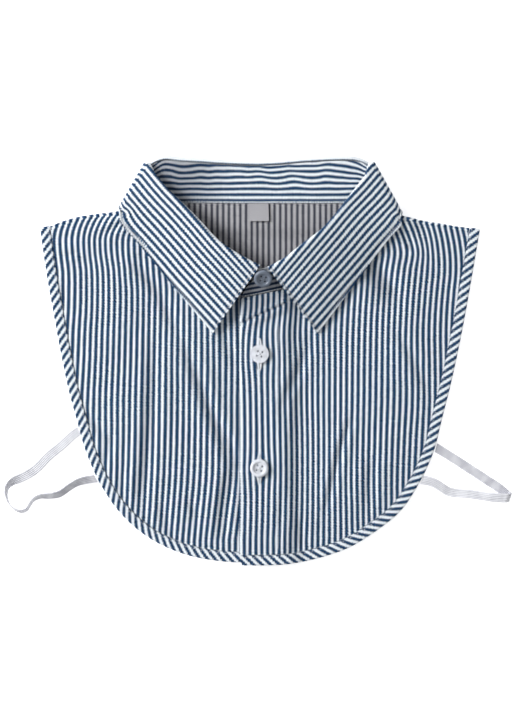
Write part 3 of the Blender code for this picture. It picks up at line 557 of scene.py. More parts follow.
def makeElastic():
    s = Shader("elasticBraid")
    across, along = s.mapPlace()[1:]
    ribs = s.wave(across - 0.25, 1.0)
    knit = s.wave(along, 2.0)
    # Painted shade: darker in the valleys between the ribs, lighter on their tops
    tone = s.ramp(ribs * 0.85 + knit * 0.15, 0.0, 0.7)
    patchy = s.ramp(s.noise(s.stretched(across * 0.06, along * 0.13), 1.0, 2.0, 0.7), 0.40, 0.62)
    colour = s.blendColours(tone, (0.36, 0.36, 0.42), (0.76, 0.77, 0.82))
    colour = s.blendColours(patchy * 0.55, colour, (0.88, 0.89, 0.93))
    bumps = s.bump(ribs * 0.8 + knit * 0.2, 0.00016)
    return s.finish(Base_Color=colour, Roughness=0.62 + tone * 0.15, Normal=bumps)


def makeShadowCloth():
    s = Shader("slitCloth")
    tone = s.noise(s.objectPlace(), 700.0, 2.0)
    colour = s.blendColours(tone, (0.02, 0.03, 0.05), (0.06, 0.08, 0.11))
    return s.finish(Base_Color=colour, Roughness=0.9 + tone * 0.05)


cottons = {}
for kind, navyShare in cottonLooks["navyShare"].items():
    colours = cottonLooks["inside" if kind == "inside" else "outside"]
    cottons[kind] = makeCotton(kind + "Cotton", colours, navyShare)
whiteThread = makeThread("whiteThread", (0.66, 0.70, 0.76), (0.84, 0.86, 0.88))
# A darker copy of the thread for the stand's button: painted shade, for the shade under the collar leaves
greyThread = makeThread("greyThread", (0.14, 0.16, 0.20), (0.24, 0.27, 0.32))
paleShell = makeButtonShell("paleShell", (0.98, 1.02, 1.10), 0.4)
# The stand button's shell: a darker copy of the button's shell, painted shade
greyShell = makeButtonShell("greyShell", (0.21, 0.25, 0.32), 0.05)
buttonShells = {"button_upper": paleShell, "button_lower": paleShell, "button_stand": greyShell}
satin = makeSatin()
elastic = makeElastic()
shadowCloth = makeShadowCloth()
print("materials made")

# The design's middle lies here in the frame, found from a button that both have
upperButton = (0.4, 4.1)
low, high = (np.array(corner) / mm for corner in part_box("button_upper"))
shift = np.array([*((low + high) / 2)[:2] - upperButton, 0.05])


def deselect():
    if bpy.context.object and bpy.context.object.mode != "OBJECT":
        bpy.ops.object.mode_set(mode="OBJECT")
    bpy.ops.object.select_all(action="DESELECT")


def pick(piece):
    deselect()
    piece.select_set(True)
    bpy.context.view_layer.objects.active = piece


def applyModifiers(piece):
    pick(piece)
    for modifier in list(piece.modifiers):
        bpy.ops.object.modifier_apply(modifier=modifier.name)


def setMap(mesh, values):
    # values has a row for each point, in the order of the points
    layer = mesh.uv_layers.active or mesh.uv_layers.new(name="UVMap")
    corners = np.empty(len(mesh.loops), int)
    mesh.loops.foreach_get("vertex_index", corners)
    layer.data.foreach_set("uv", values.reshape(-1, 2)[corners].ravel())


def gridPiece(name, points, stripeMap, materials, kept=None, hollow=None):
    # A sheet whose points, map and painted shade (0 to 1) are given row by row
    rows, columns = points.shape[:2]
    deselect()
    bpy.ops.mesh.primitive_grid_add(x_subdivisions=columns - 1, y_subdivisions=rows - 1, size=2)
    piece = bpy.context.object
    piece.name = piece.data.name = name
    mesh = piece.data
    mesh.vertices.foreach_set("co", ((points + shift) * mm).reshape(-1))
    setMap(mesh, stripeMap)
    if hollow is not None:
        mesh.attributes.new("hollow", "FLOAT", "POINT").data.foreach_set("value", hollow.reshape(-1))
    for material in materials:
        mesh.materials.append(material)
    if kept is not None:
        # The points that aren't kept go
        bpy.ops.object.mode_set(mode="EDIT")
        bpy.ops.mesh.select_mode(type="VERT")
        bpy.ops.mesh.select_all(action="DESELECT")
        bpy.ops.object.mode_set(mode="OBJECT")
        mesh.vertices.foreach_set("select", ~kept.reshape(-1))
        bpy.ops.object.mode_set(mode="EDIT")
        bpy.ops.mesh.delete(type="VERT")
        bpy.ops.object.mode_set(mode="OBJECT")
    return piece


def giveWall(piece, wall, insideSlot=0, offset=0.0):
    thick = piece.modifiers.new("Wall", "SOLIDIFY")
    thick.thickness = wall * mm
    thick.offset = offset
    thick.material_offset = insideSlot
    applyModifiers(piece)
    pick(piece)
    bpy.ops.object.shade_smooth_by_angle(angle=math.radians(50))


def joinUp(piece, threshold=None):
    # Every face turned outwards, and points closer than the threshold made one
    pick(piece)
    bpy.ops.object.mode_set(mode="EDIT")
    bpy.ops.mesh.select_all(action="SELECT")
    if threshold:
        bpy.ops.mesh.remove_doubles(threshold=threshold)
    bpy.ops.mesh.normals_make_consistent(inside=False)
    bpy.ops.object.mode_set(mode="OBJECT")


def register(piece, node):
    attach(piece, "root")
    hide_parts(node)


def sheetArea(points):
    a, b, c, d = points[:-1, :-1], points[:-1, 1:], points[1:, 1:], points[1:, :-1]
    first = np.linalg.norm(np.cross(b - a, c - a), axis=-1) / 2
    second = np.linalg.norm(np.cross(c - a, d - a), axis=-1) / 2
    return (first + second).sum()


def patch(top, bottom, outer, inner, down, along):
    v, u = down[:, None, None], along[None, :, None]
    upper = (1 - u) * (1 - v) * top[0] + u * (1 - v) * top[-1]
    corners = upper + (1 - u) * v * bottom[0] + u * v * bottom[-1]
    return (1 - v) * top[None] + v * bottom[None] + (1 - u) * outer[:, None] + u * inner[:, None] - corners


frontLooks = {
    "rows": 180, "columns": 132, "neckShare": 0.36, "cornerAt": 0.62, "wall": 0.75, "facingDrop": 1.5,
    # Where the shoulder seam meets the outer edge and the neck's, as shares of their lengths
    "seamOnEdge": 0.075, "seamOnNeck": 0.2, "seamDrop": 0.02,
    "turn": range(30, 181, 30), "placketWidth": 24.5, "placketColumns": 10, "placketCounted": 16.0 * 140.0,
    # Puckers along the binding and both rows of stitches, and the cloth's own waves
    "boundFrom": 6.5, "puckerReach": 7.0, "puckerDepth": 0.32, "stitchedAt": (-10.8, 11.9), "stitchReach": 3.2,
    "waviness": 0.44, "wavesFrom": (8.0, 22.0),
    "noises": {"bound": ((4.5, 4.5), 3.1), "stitched": ((9.0, 4.2), 5.7), "waves": ((16.0, 34.0), 8.3)},
}
# Shade on the fronts: in all creases, and on the under front beside the overlap, at the hem and at the neck
frontShade = {
    "crease": 0.26, "most": 0.55,
    "hem": 0.30, "hemSides": (-15.5, -12.0), "hemRows": (-118.0, -100.0),
    "neck": 0.55, "neckSides": (-18.0, -11.5), "neckRows": (15.0, 35.0),
}


def frontRim(side, share):
    inset = inward[side] * (layers["bindingWidth"] + layers["gap"])
    return edge[side].beside(share, np.full(np.shape(share), inset))


def seamCurve(side, drop):
    neckEnd = neck[side].beside(np.array(frontLooks["seamOnNeck"]), -inward[side] * layers["seamGap"])
    rows = [frontRim(side, np.array(frontLooks["seamOnEdge"])), *sideOf(shoulderSeam, side), neckEnd]
    return Curve([(x, y - drop) for x, y in rows])


def frontPlan(side):
    looks = frontLooks
    down, along = evenly(looks["rows"]), evenly(looks["columns"])
    seam = seamCurve(side, looks["seamDrop"])
    neckRow = looks["neckShare"]
    start = looks["seamOnEdge"]
    offNeck = -inward[side] * layers["seamGap"]
    onNeck = looks["seamOnNeck"] + (1 - looks["seamOnNeck"]) * np.clip(down / neckRow, 0, 1)
    neckEdge = neck[side].beside(onNeck, np.full(len(down), offNeck))
    below = np.clip((down - neckRow) / (1 - neckRow), 0, 1)[:, None]
    inner = mix(neckEdge, frontRim(side, np.array(1.0)), below)
    inner[0] = seam.at(1.0)
    outer = frontRim(side, start + (looks["cornerAt"] - start) * down)
    outer[0] = seam.at(0.0)
    bottom = frontRim(side, looks["cornerAt"] + (1 - looks["cornerAt"]) * along)
    return patch(seam.at(along), bottom, outer, inner, down, along)


def stitchPuckers(side, xy):
    # Short irregular drags beside the bound edge and the placket's stitching, and the cloth's own unevenness
    looks = frontLooks
    fromEdge = nearest(edgePoints, xy)
    near = np.exp(-np.maximum(fromEdge - looks["boundFrom"], 0) / looks["puckerReach"])
    drag = wander(xy, *looks["noises"]["bound"]) * near * looks["puckerDepth"]
    placket = np.zeros(xy.shape[:-1])
    if side == "right":
        for x in looks["stitchedAt"]:
            close = hump(xy[..., 0] - x, looks["stitchReach"])
            placket += close * wander(xy, *looks["noises"]["stitched"]) * looks["puckerDepth"]
    waves = wander(xy, *looks["noises"]["waves"]) * looks["waviness"] * smooth(fromEdge, *looks["wavesFrom"])
    return drag + placket + waves


def paintedFrontShade(side, xy):
    # Painted shade in the creases, beside the placket and where the neck opening falls away
    shade = frontShade
    found = np.clip(creaseDepth(side, xy) * shade["crease"], 0.0, shade["most"])
    x, y = xy[..., 0], xy[..., 1]
    if side == "right":
        ends = 1 - smooth(x, *neckCrease["lineEnds"])
        line = hump(y - neckCreaseAt(x), neckCrease["lineWidth"]) * ends * neckCrease["line"]
        found = np.maximum(found, aboveNeckCrease(x, y, "shade") + line)
    else:
        for part in ("hem", "neck"):
            near = smooth(x, *shade[part + "Sides"]) * smooth(y, *shade[part + "Rows"])
            found = np.maximum(found, shade[part] * near)
    return np.clip(found, 0.0, 1.0)


def frontCloth(side):
    # The plan of a front, its points and its map
    plan = frontPlan(side)
    points = atHeight(plan, frontHeight(side, plan) + stitchPuckers(side, plan))
    return plan, points, np.stack([frontStripe(side, plan), plan[..., 1] / stripes["pitch"]], axis=-1)


def makeFronts():
    looks = frontLooks
    plan, points, stripeMap = frontCloth("left")
    hollow = paintedFrontShade("left", plan)
    right = gridPiece("wearersRightFront", points, stripeMap, [cottons["panel"]], hollow=hollow)
    giveWall(right, looks["wall"])
    register(right, "front_right")
    rightArea = sheetArea(points)
    plan, points, stripeMap = frontCloth("right")
    leftArea = sheetArea(points) + looks["placketCounted"]
    last = points[:, -1]
    radius = looks["facingDrop"] / 2
    extra, extraMap = [], []
    for angle in looks["turn"]:
        turn = math.radians(angle)
        extra.append(last + radius * np.array([-math.sin(turn), 0.0, math.cos(turn) - 1]))
        extraMap.append(stripeMap[:, -1] - [radius * turn / stripes["pitch"], 0.0])
    turned = extraMap[-1]
    for share in evenly(looks["placketColumns"])[1:]:
        under = last.copy()
        under[:, 0] += looks["placketWidth"] * share
        under[:, 2] = frontHeight("right", under[:, :2]) - looks["facingDrop"]
        extra.append(under)
        extraMap.append(turned - [looks["placketWidth"] * share / stripes["pitch"], 0.0])
    points = np.concatenate([points, np.stack(extra, axis=1)], axis=1)
    stripeMap = np.concatenate([stripeMap, np.stack(extraMap, axis=1)], axis=1)
    flat = looks["columns"] + 1
    hollow = np.zeros(points.shape[:2])
    hollow[:, :flat] = paintedFrontShade("right", plan)
    kept = np.ones(points.shape[:2], bool)
    kept[: round(looks["neckShare"] * looks["rows"]), flat:] = False
    left = gridPiece("wearersLeftFront", points, stripeMap, [cottons["panel"]], kept, hollow)
    giveWall(left, looks["wall"])
    register(left, "front_left")
    return right, rightArea, left, leftArea


rightFront, rightArea, leftFront, leftArea = makeFronts()
print("fronts made", round(rightArea), round(leftArea))


def frontStations(side, count):
    rows = Curve(collarRows[side]).at(evenly(count))
    roll = collarLooks["roll"] + collarLooks["cadWall"] / 2
    across = np.concatenate([rows[:, 3:5] - rows[:, 0:2], np.zeros((len(rows), 1))], axis=1)
    fold = rows[:, 0:3] + unit(across) * roll
    seam = atHeight(rows[:, 6:8], frontHeight(side, rows[:, 6:8]))
    normal = np.tile([0.0, 0.0, 1.0], (len(rows), 1))
    return np.concatenate([fold, rows[:, 3:6], seam, normal], axis=1)


collarLooks = {
    "roll": 1.2, "rollStart": 0.4, "cadWall": 1.4, "wall": 1.15, "belly": 0.8, "seamGap": 0.8,
    "neckBackHeight": 2.4, "leafStations": 13, "turnSteps": 6, "backStations": 14, "finer": 5,
    # More stations at both ends, in stations from the end, and the columns of the fold and of the leaf
    "closer": (0.18, 0.34, 0.5), "foldSteps": 8, "leafColumns": 19, "leafShare": 0.93,
    # The columns beside the leaf's edge, in millimetres from it; the third carries the stitches
    "edgeColumns": (2.7, 2.0, 1.5, 0.9, 0.4, 0.0),
    "stitchIn": 1.5, "stitchShade": 0.7, "stitchShadeWidth": 0.5,
    # The leaf's edge puffs up, its stitches draw it in: height, place and width of each
    "edgePuff": 0.16, "puffAt": (0.6, 0.6), "drawn": 0.9, "drawnAt": (1.5, 0.35),
    "leafWaviness": 0.35, "wavesFrom": (2.0, 12.0), "wavesAcross": (0.05, 0.4), "waves": ((22.0, 22.0), 2.4),
    # Stripes counted from the leaf's outer edge: there at the tip, the side and behind, and at the fold behind
    "atEdge": {"left": (0.32, 1.32), "right": (0.18, 1.75)}, "behind": (1.8, 12.2),
    # Their spacing near the edge, and how it tightens where the leaf slopes up to its fold
    "leafPitch": 3.74, "tightens": 0.00105, "from": 20.0,
    # How they bend beside the shoulder
    "bend": {"left": 0.9, "right": 0.4}, "bendReach": 3.6,
    # The leaf's edge carried on beyond its ends, in steps of its own, to count stripes from
    "beyondTip": 50, "beyondBack": 12, "backStep": 5,
}


def sideTurn(start, side):
    up = np.array([0.0, 0.0, 1.0])
    flat = np.array([1.0, 1.0, 0.0])
    fold, leafEdge, seam = start[0:3], start[3:6], start[6:9]
    down = unit((leafEdge - fold) * flat)
    besideCollar = inward[side] * np.array([down[1], -down[0], 0.0])
    shoulder = Curve(sideOf(shoulderFold, side)).heading(1.0)
    overShoulder = inward[side] * np.array([-shoulder[1], shoulder[0], 0.0])
    half = collarLooks["cadWall"] / 2
    floors = (half + collarLooks["roll"], half, collarLooks["neckBackHeight"])
    found = []
    for share in evenly(collarLooks["turnSteps"])[1:]:
        turn = math.pi * share
        row = []
        for begin, out, floor in zip((fold, leafEdge, seam), (besideCollar, overShoulder, overShoulder), floors):
            radius = (begin[2] - floor) / 2
            centre = begin * flat + up * (floor + radius)
            row.append(centre + radius * (up * math.cos(turn) + out * math.sin(turn)))
        row.append(up * math.cos(turn) + besideCollar * math.sin(turn))
        found.append(np.concatenate(row))
    return found


def planRow(station):
    across = unit((station[3:6] - station[0:3]) * [1, 1, 0])
    seen = station[0:3] - across * (collarLooks["roll"] + collarLooks["cadWall"] / 2)
    return (*seen[:2], *station[3:5], *station[6:8])


def collarStations():
    looks = collarLooks
    left = list(frontStations("left", looks["leafStations"]))
    right = list(frontStations("right", looks["leafStations"]))
    leftTurn, rightTurn = sideTurn(left[-1], "left"), sideTurn(right[-1], "right")
    behind = Curve([planRow(leftTurn[-1]), *backFold, planRow(rightTurn[-1])])
    shares = evenly(looks["backStations"])[1:-1]
    rows = behind.at(0.3 * shares + 0.7 * smooth(shares, 0.0, 1.0))
    half = looks["cadWall"] / 2
    back = []
    for foldX, foldY, edgeX, edgeY, seamX, seamY in rows:
        across = unit((edgeX - foldX, edgeY - foldY, 0.0))
        fold = np.array([foldX, foldY, half + looks["roll"]]) + across * (looks["roll"] + half)
        back.append(np.array([*fold, edgeX, edgeY, half, seamX, seamY, looks["neckBackHeight"], 0, 0, -1]))
    return np.array(left + leftTurn + back + rightTurn[::-1] + right[::-1])


stations = collarStations()


def normalsOf(grid):
    return unit(np.cross(np.gradient(grid, axis=1), np.gradient(grid, axis=0)))


def leafStripe(side, xy):
    # By the distance from the leaf's outer edge, which is carried on straight beyond its ends
    looks = collarLooks
    border = Curve([row[3:5] for row in collarRows[side][:-1]]).at(evenly(60))
    beforeTip = border[0] - looks["beyondTip"] * (border[1] - border[0])
    afterBack = border[-1] + looks["beyondBack"] * (border[-1] - border[-1 - looks["backStep"]])
    border = np.concatenate([[beforeTip], border, [afterBack]])
    lengths = alongRows(border) / alongRows(border)[-1]
    away, place = besideLine(border, xy)
    place = np.clip((place - lengths[1]) / (lengths[-2] - lengths[1]), 0.0, 1.0)
    count = mix(*looks["atEdge"][side], place) + away / looks["leafPitch"]
    count = count + looks["tightens"] * np.maximum(away - looks["from"], 0.0) ** 2
    fromShoulder = besideLine(Curve(sideOf(shoulderFold, side)).at(evenly(30)), xy)[0]
    return count - looks["bend"][side] * np.exp(-fromShoulder / looks["bendReach"])


def makeFall():
    looks = collarLooks
    last = len(stations) - 1
    closer = np.array(looks["closer"])
    evenPlaces = np.arange(last * looks["finer"] + 1) / looks["finer"]
    shares = np.unique(np.concatenate([evenPlaces, closer, last - closer])) / last
    rows = Curve(stations, even=True).at(shares)
    fold, leafEdge, normal = rows[:, 0:3], rows[:, 3:6], unit(rows[:, 9:12])
    span = leafEdge - fold
    across = unit(span - normal * (span * normal).sum(axis=1, keepdims=True))
    columns = [fold - normal * looks["roll"] + across * looks["rollStart"]]
    for angle in np.linspace(-90, 90, looks["foldSteps"] + 1):
        turn = math.radians(angle)
        columns.append(fold + looks["roll"] * (math.sin(turn) * normal - math.cos(turn) * across))
    top = columns[-1]
    onFold, ridge = len(columns), 1 + looks["foldSteps"] // 2
    length = np.linalg.norm(leafEdge - top, axis=1)
    seen = np.maximum(normal[:, 2:3], 0.0)
    inEdge = np.array(looks["edgeColumns"])[:, None]
    wide = np.linspace(0.0, looks["leafShare"], looks["leafColumns"] + 1)[1:, None]
    wanted = [*(wide * np.ones(len(rows))), *(1 - inEdge / length)]
    for share in wanted:
        share = share[:, None]
        bellied = mix(top, leafEdge, share) + [0, 0, 1] * seen * looks["belly"] * np.sin(math.pi * share)
        columns.append(bellied)
    grid = np.stack(columns, axis=1)
    far = np.full((len(rows), onFold), 99.0)
    inFromEdge = np.concatenate([far, length[:, None] * (1 - np.array(wanted).T)], axis=1)
    fromFront = np.minimum(alongRows(grid[:, 20])[:, None], alongRows(grid[::-1, 20])[::-1][:, None])
    rim = np.minimum(inFromEdge, fromFront)
    (puffIn, puffWidth), (drawnIn, drawnWidth) = looks["puffAt"], looks["drawnAt"]
    puff = hump(rim - puffIn, puffWidth) - looks["drawn"] * hump(rim - drawnIn, drawnWidth)
    puff = looks["edgePuff"] * puff
    waves = wander(grid[..., :2], *looks["waves"]) * looks["leafWaviness"] * smooth(rim, *looks["wavesFrom"])
    waves = waves * np.concatenate([np.zeros(onFold), smooth(evenly(len(wanted) - 1), *looks["wavesAcross"])])
    raised = (puff + waves) * seen
    grid = grid + normal[:, None] * raised[..., None]
    lengths = np.linalg.norm(np.diff(grid, axis=1), axis=2)
    lengths = np.concatenate([np.zeros((len(rows), 1)), np.cumsum(lengths, axis=1)], axis=1)
    onRidge = lengths[:, ridge : ridge + 1]
    edgeBehind, foldBehind = looks["behind"]
    behind = foldBehind + (edgeBehind - foldBehind) * ((lengths - onRidge) / (lengths[:, -1:] - onRidge))
    sideShare = looks["leafStations"] / last
    turned = (looks["leafStations"] + looks["turnSteps"]) / last
    under = onFold - 2
    count = behind.copy()
    for side, places in (("left", shares), ("right", 1 - shares)):
        onLeaf = places <= sideShare + 1e-6
        # Seen from above as far as the turn of the fold, and by length under it
        found = leafStripe(side, grid[onLeaf][:, under:, :2])
        long = lengths[onLeaf]
        first = found[:, :1] + (long[:, under : under + 1] - long[:, :under]) / stripes["pitch"]
        count[onLeaf] = np.concatenate([first, found], axis=1)
        leafEnd = np.flatnonzero(onLeaf)[-1 if side == "left" else 0]
        turning = (places > sideShare + 1e-6) & (places < turned)
        count[turning] = mix(count[leafEnd], behind[turning], smooth(places[turning], sideShare, turned)[:, None])
    down = alongRows(grid[:, 22])[:, None] / stripes["pitch"] * np.ones_like(count)
    stripeMap = np.stack([count, down], axis=-1)
    # Painted shade along the leaf's row of stitches
    hollow = looks["stitchShade"] * hump(rim - looks["stitchIn"], looks["stitchShadeWidth"])
    piece = gridPiece("collarFall", grid, stripeMap, [cottons["collar"]], hollow=hollow)
    giveWall(piece, looks["wall"])
    register(piece, "collar_fall")
    return piece, grid


collarFall, fallGrid = makeFall()
print("fall made", round(sheetArea(fallGrid)))


def makeStand():
    looks = collarLooks

    def ends(side):
        rows = []
        for topX, topY, topZ, seamX, seamY in standEnd[side]:
            seamZ = float(frontHeight(side, np.array([seamX, seamY])))
            rows.append((topX, topY, topZ, seamX, seamY, seamZ))
        return rows

    coarse = ends("left")[::-1]
    for station in stations:
        fold, seam, normal = station[0:3], station[6:9], unit(station[9:12])
        under = fold - normal * looks["roll"]
        top = under + unit(seam - under) * (looks["rollStart"] + looks["seamGap"])
        coarse.append((*top, *seam))
    coarse = np.array(coarse + ends("right"))
    rows = Curve(coarse, even=True).at(evenly((len(coarse) - 1) * looks["finer"]))
    shares = evenly(14)
    grid = mix(rows[:, None, 0:3], rows[:, None, 3:6], shares[None, :, None])
    behind = smooth(grid[..., 1], 98.0, 106.0) * np.sin(math.pi * shares)[None]
    buckle = wander(grid[..., :2], (13.0, 6.0), 6.6) * 0.9 * smooth(np.abs(grid[..., 0]), 18.0, 45.0)
    slack = wander(grid[..., :2], (30.0, 12.0), 4.2) * 0.5
    grid[..., 2] += (np.abs(buckle) + slack + 0.25) * behind * 0.8
    up = np.linalg.norm(rows[:, 0:3] - rows[:, 3:6], axis=1)
    count = (1 - shares)[None] * up[:, None] / 3.56 - 0.4
    ripple = wander(grid[..., :2], (17.0, 30.0), 9.1) * 0.75 + wander(grid[..., :2], (7.0, 12.0), 3.3) * 0.28
    count = count + ripple * smooth(1 - shares, 0.1, 0.8)[None] * smooth(grid[..., 1], 96.0, 100.0)
    # Painted shade: darker on the stand's ends seen between the leaves, and on its left part behind, where the left
    # leaf shades it
    hollow = (0.50 + 0.40 * smooth(shares, 0.04, 0.14))[None] * (1 - smooth(grid[..., 1], 56.0, 70.0))
    hollow = hollow + 0.72 * smooth(-grid[..., 0], 8.0, 48.0) * smooth(grid[..., 1], 76.0, 92.0)
    down = alongRows(rows[:, 3:6])[:, None] / stripes["pitch"] * np.ones_like(count)
    piece = gridPiece(
        "collarStand", grid, np.stack([count, down], axis=-1), [cottons["collar"]], None, np.clip(hollow, 0, 1)
    )
    giveWall(piece, looks["wall"])
    register(piece, "collar_stand")
    return piece, grid


collarStand, standGrid = makeStand()
print("stand made", round(sheetArea(standGrid)))

backLooks = {
    "wall": 0.75, "shoulderColumns": 18, "neckColumns": 72, "rows": 84, "closerRows": 1.6, "hemStart": 0.305,
    "stripRows": 10, "cornerAt": 0.12, "waviness": 0.12,
}


def makeBack():
    looks = backLooks
    behind = stations[stations[:, 11] < -0.99]
    neckCurve = Curve(behind[:, 6:8])
    foldCurve = {side: Curve([frontRim(side, np.array(0.0)), *sideOf(shoulderFold, side)]) for side in inward}
    shares = evenly(looks["neckColumns"])
    corner = 1 - smooth(np.minimum(shares, 1 - shares), 0.0, looks["cornerAt"])
    neckEdge = neckCurve.beside(shares, -layers["seamGap"] * (1 + corner))
    n = looks["shoulderColumns"]
    top = np.concatenate([foldCurve["left"].at(evenly(n)), neckEdge, foldCurve["right"].at(evenly(n)[::-1])])
    columns = len(top) - 1
    along = evenly(columns)
    down = evenly(looks["rows"]) ** looks["closerRows"]
    hem = looks["hemStart"]

    def rim(share):
        return backEdge.beside(share, np.full(np.shape(share), layers["bindingWidth"] + layers["gap"]))

    main = patch(top, rim(hem + (1 - 2 * hem) * along), rim(hem * down), rim(1 - hem * down), down, along)
    strip = evenly(looks["stripRows"])[::-1]
    turns = np.radians([150, 120, 90, 60, 30])
    half = columns / 2
    j = np.arange(columns + 1)
    place = np.minimum(np.where(j <= half, j, columns - j), n) / n
    seams = {side: seamCurve(side, -frontLooks["seamDrop"]) for side in inward}
    seam = np.where((j <= half)[:, None], seams["left"].at(place), seams["right"].at(place))
    out = unit(top - seam)

    def height(xy):
        return np.where(xy[..., 0] < 0, frontHeight("left", xy), frontHeight("right", xy))

    rows, maps = [], []
    for share in strip:
        xy = mix(top, seam, share)
        rows.append(np.concatenate([xy, height(xy)[:, None]], axis=1))
        counted = np.where(xy[:, 0] < 0, frontStripe("left", xy), frontStripe("right", xy))
        maps.append(np.stack([counted, xy[:, 1] / stripes["pitch"]], axis=-1))
    lowest = backHeight(top)
    radius = (height(top) - lowest) / 2
    for turn in turns:
        xy = top + out * (radius * math.sin(turn))[:, None]
        z = lowest + radius - radius * math.cos(turn)
        rows.append(np.concatenate([xy, z[:, None]], axis=1))
        maps.append(maps[-1] + [0.0, 0.1])
    flatMap = np.stack([(main[..., 0] - stripes["backStart"]) / stripes["backPitch"], main[..., 1] / 3.7], axis=-1)
    z = backHeight(main) + np.maximum(wander(main, (18.0, 26.0), 1.9), 0.0) * looks["waviness"]
    mainPoints = np.concatenate([main, z[..., None]], axis=-1)
    points = np.concatenate([np.stack(rows), mainPoints])
    stripeMap = np.concatenate([np.stack(maps), flatMap])
    kept = np.ones(points.shape[:2], bool)
    kept[: len(rows), n + 1 : columns - n] = False
    # The other face gets the inside cotton, whose greys are painted shade
    piece = gridPiece("backPanel", points, stripeMap, [cottons["panel"], cottons["inside"]], kept)
    giveWall(piece, looks["wall"], 1)
    register(piece, "back_panel")
    strips = [points[: len(rows) + 1, : n + 1], points[: len(rows) + 1, columns - n :]]
    return piece, sheetArea(mainPoints) + sum(sheetArea(s) for s in strips)


backPanel, backArea = makeBack()
print("back made", round(backArea))

bindingLooks = {
    "frontRows": 380, "backRows": 480, "thickness": 1.25, "around": 16, "drag": 0.12, "dragLength": 5.4,
    "grooveIn": 1.2, "groove": 0.22, "unevenness": 0.14, "wall": 0.3,
}


def makeBinding():
    looks = bindingLooks
    width = layers["bindingWidth"]
    centres, insides, heights, facings = [], [], [], []

    def add(centre, inside, height, facing):
        centres.append(centre)
        insides.append(np.broadcast_to(inside, centre.shape))
        heights.append(np.broadcast_to(height, len(centre)))
        facings.append(np.broadcast_to(facing, (len(centre), 3)))

    def besideEdge(curve, places, turned):
        ahead = curve.heading(places)
        into = turned * np.stack([-ahead[..., 1], ahead[..., 0]], axis=-1)
        return curve.beside(places, np.full(np.shape(places), turned * width / 2)), into, ahead

    def front(side, places):
        centre, into, ahead = besideEdge(edge[side], places, inward[side])
        lap = layers["bindingLap"] * (1 - smooth(centre[:, 0], 18.0, 30.0)) * (side == "right")
        add(centre, into, layers["frontBinding"] + lap, (0, 0, 1))

    def overShoulder(side, degrees):
        centre, into, ahead = besideEdge(edge[side], np.array(0.0), inward[side])
        radius = (layers["frontBinding"] - layers["backBinding"]) / 2
        turns = np.radians(degrees)
        facing = np.stack([-ahead[0] * np.sin(turns), -ahead[1] * np.sin(turns), -np.cos(turns)], axis=-1)
        height = layers["backBinding"] + radius - radius * np.cos(turns)
        add(centre - ahead * (radius * np.sin(turns))[:, None], into, height, facing)

    front("left", evenly(looks["frontRows"])[::-1])
    overShoulder("left", range(160, 0, -20))
    centre, into, ahead = besideEdge(backEdge, evenly(looks["backRows"]), 1)
    add(centre, into, layers["backBinding"], (0, 0, -1))
    overShoulder("right", range(20, 180, 20))
    front("right", evenly(looks["frontRows"]))
    middle = np.column_stack([np.concatenate(centres), np.concatenate(heights)])
    into = np.column_stack([np.concatenate(insides), np.zeros(len(middle))])
    facing = np.concatenate(facings)
    s = alongRows(middle)
    angles = np.linspace(0, 2 * math.pi, looks["around"] + 1)
    reach = np.sign(np.cos(angles)) * np.abs(np.cos(angles)) ** 0.45 * width / 2
    rise = np.sign(np.sin(angles)) * np.abs(np.sin(angles)) ** 0.8
    surface = np.stack(np.broadcast_arrays(s[:, None], reach[None]), axis=-1)
    phase = wander(np.stack([s, s * 0], axis=-1), (40.0, 1.0), 1.0)[:, None] * 4
    drags = looks["drag"] * np.sin(2 * math.pi * surface.sum(axis=-1) / looks["dragLength"] + phase)
    drags = (drags + wander(surface, (3.0, 3.0), 7.7) * looks["unevenness"]) * (1 - (reach / (width / 2)) ** 4)
    groove = looks["groove"] * np.exp(-(((width / 2 - reach - looks["grooveIn"]) / 0.4) ** 2))
    half = looks["thickness"] / 2 + np.where(rise > 0.01, drags - groove, 0.0)
    grid = middle[:, None] + into[:, None] * reach[None, :, None] + facing[:, None] * (rise * half)[..., None]
    around = width / 2 - np.concatenate([[0.0], np.cumsum(np.hypot(np.diff(reach), np.diff(rise * 0.6)))])
    # It is cut on the bias, so its stripes cross the strip at 45 degrees
    bias = math.sqrt(0.5) / stripes["pitch"]
    stripeMap = np.stack([(s[:, None] - around) * bias, (s[:, None] + around) * bias], axis=-1)
    piece = gridPiece("edgeBinding", grid, stripeMap, [cottons["binding"]])
    bpy.ops.object.mode_set(mode="EDIT")
    bpy.ops.mesh.select_all(action="SELECT")
    bpy.ops.mesh.remove_doubles(threshold=0.00001)
    bpy.ops.mesh.normals_make_consistent(inside=False)
    bpy.ops.object.mode_set(mode="OBJECT")
    giveWall(piece, looks["wall"], 0, -1.0)
    register(piece, "edge_binding")
    seam = middle + into * (width / 2 - looks["grooveIn"]) + facing * (looks["thickness"] / 2 - looks["groove"])
    return piece, s[-1], seam, facing


edgeBinding, bindingLength, bindingSeam, bindingFacing = makeBinding()
print("binding made", round(bindingLength))

labelLooks = {"width": 12.5, "drop": 11.0, "x": -0.4, "slant": 0.3, "lift": 0.5, "wall": 0.45, "neckLine": 97.5}


def makeLabel():
    looks = labelLooks
    down, along = evenly(20), evenly(16)
    y = looks["neckLine"] - looks["drop"] * down
    x = looks["x"] + looks["slant"] * down[:, None] + looks["width"] * (along[None] - 0.5)
    xy = np.stack([x, np.broadcast_to(y[:, None], x.shape)], axis=-1)
    z = backHeight(xy) + 1.2 + looks["lift"] * down[:, None] ** 2 + 0.12 * np.cos(math.pi * (along[None] * 2 - 1)) * down[:, None]
    grid = np.concatenate([xy, z[..., None]], axis=-1)
    piece = gridPiece("sizeLabel", grid, np.stack([x, xy[..., 1]], axis=-1), [satin])
    giveWall(piece, looks["wall"])
    register(piece, "size_label")
    return piece


sizeLabel = makeLabel()

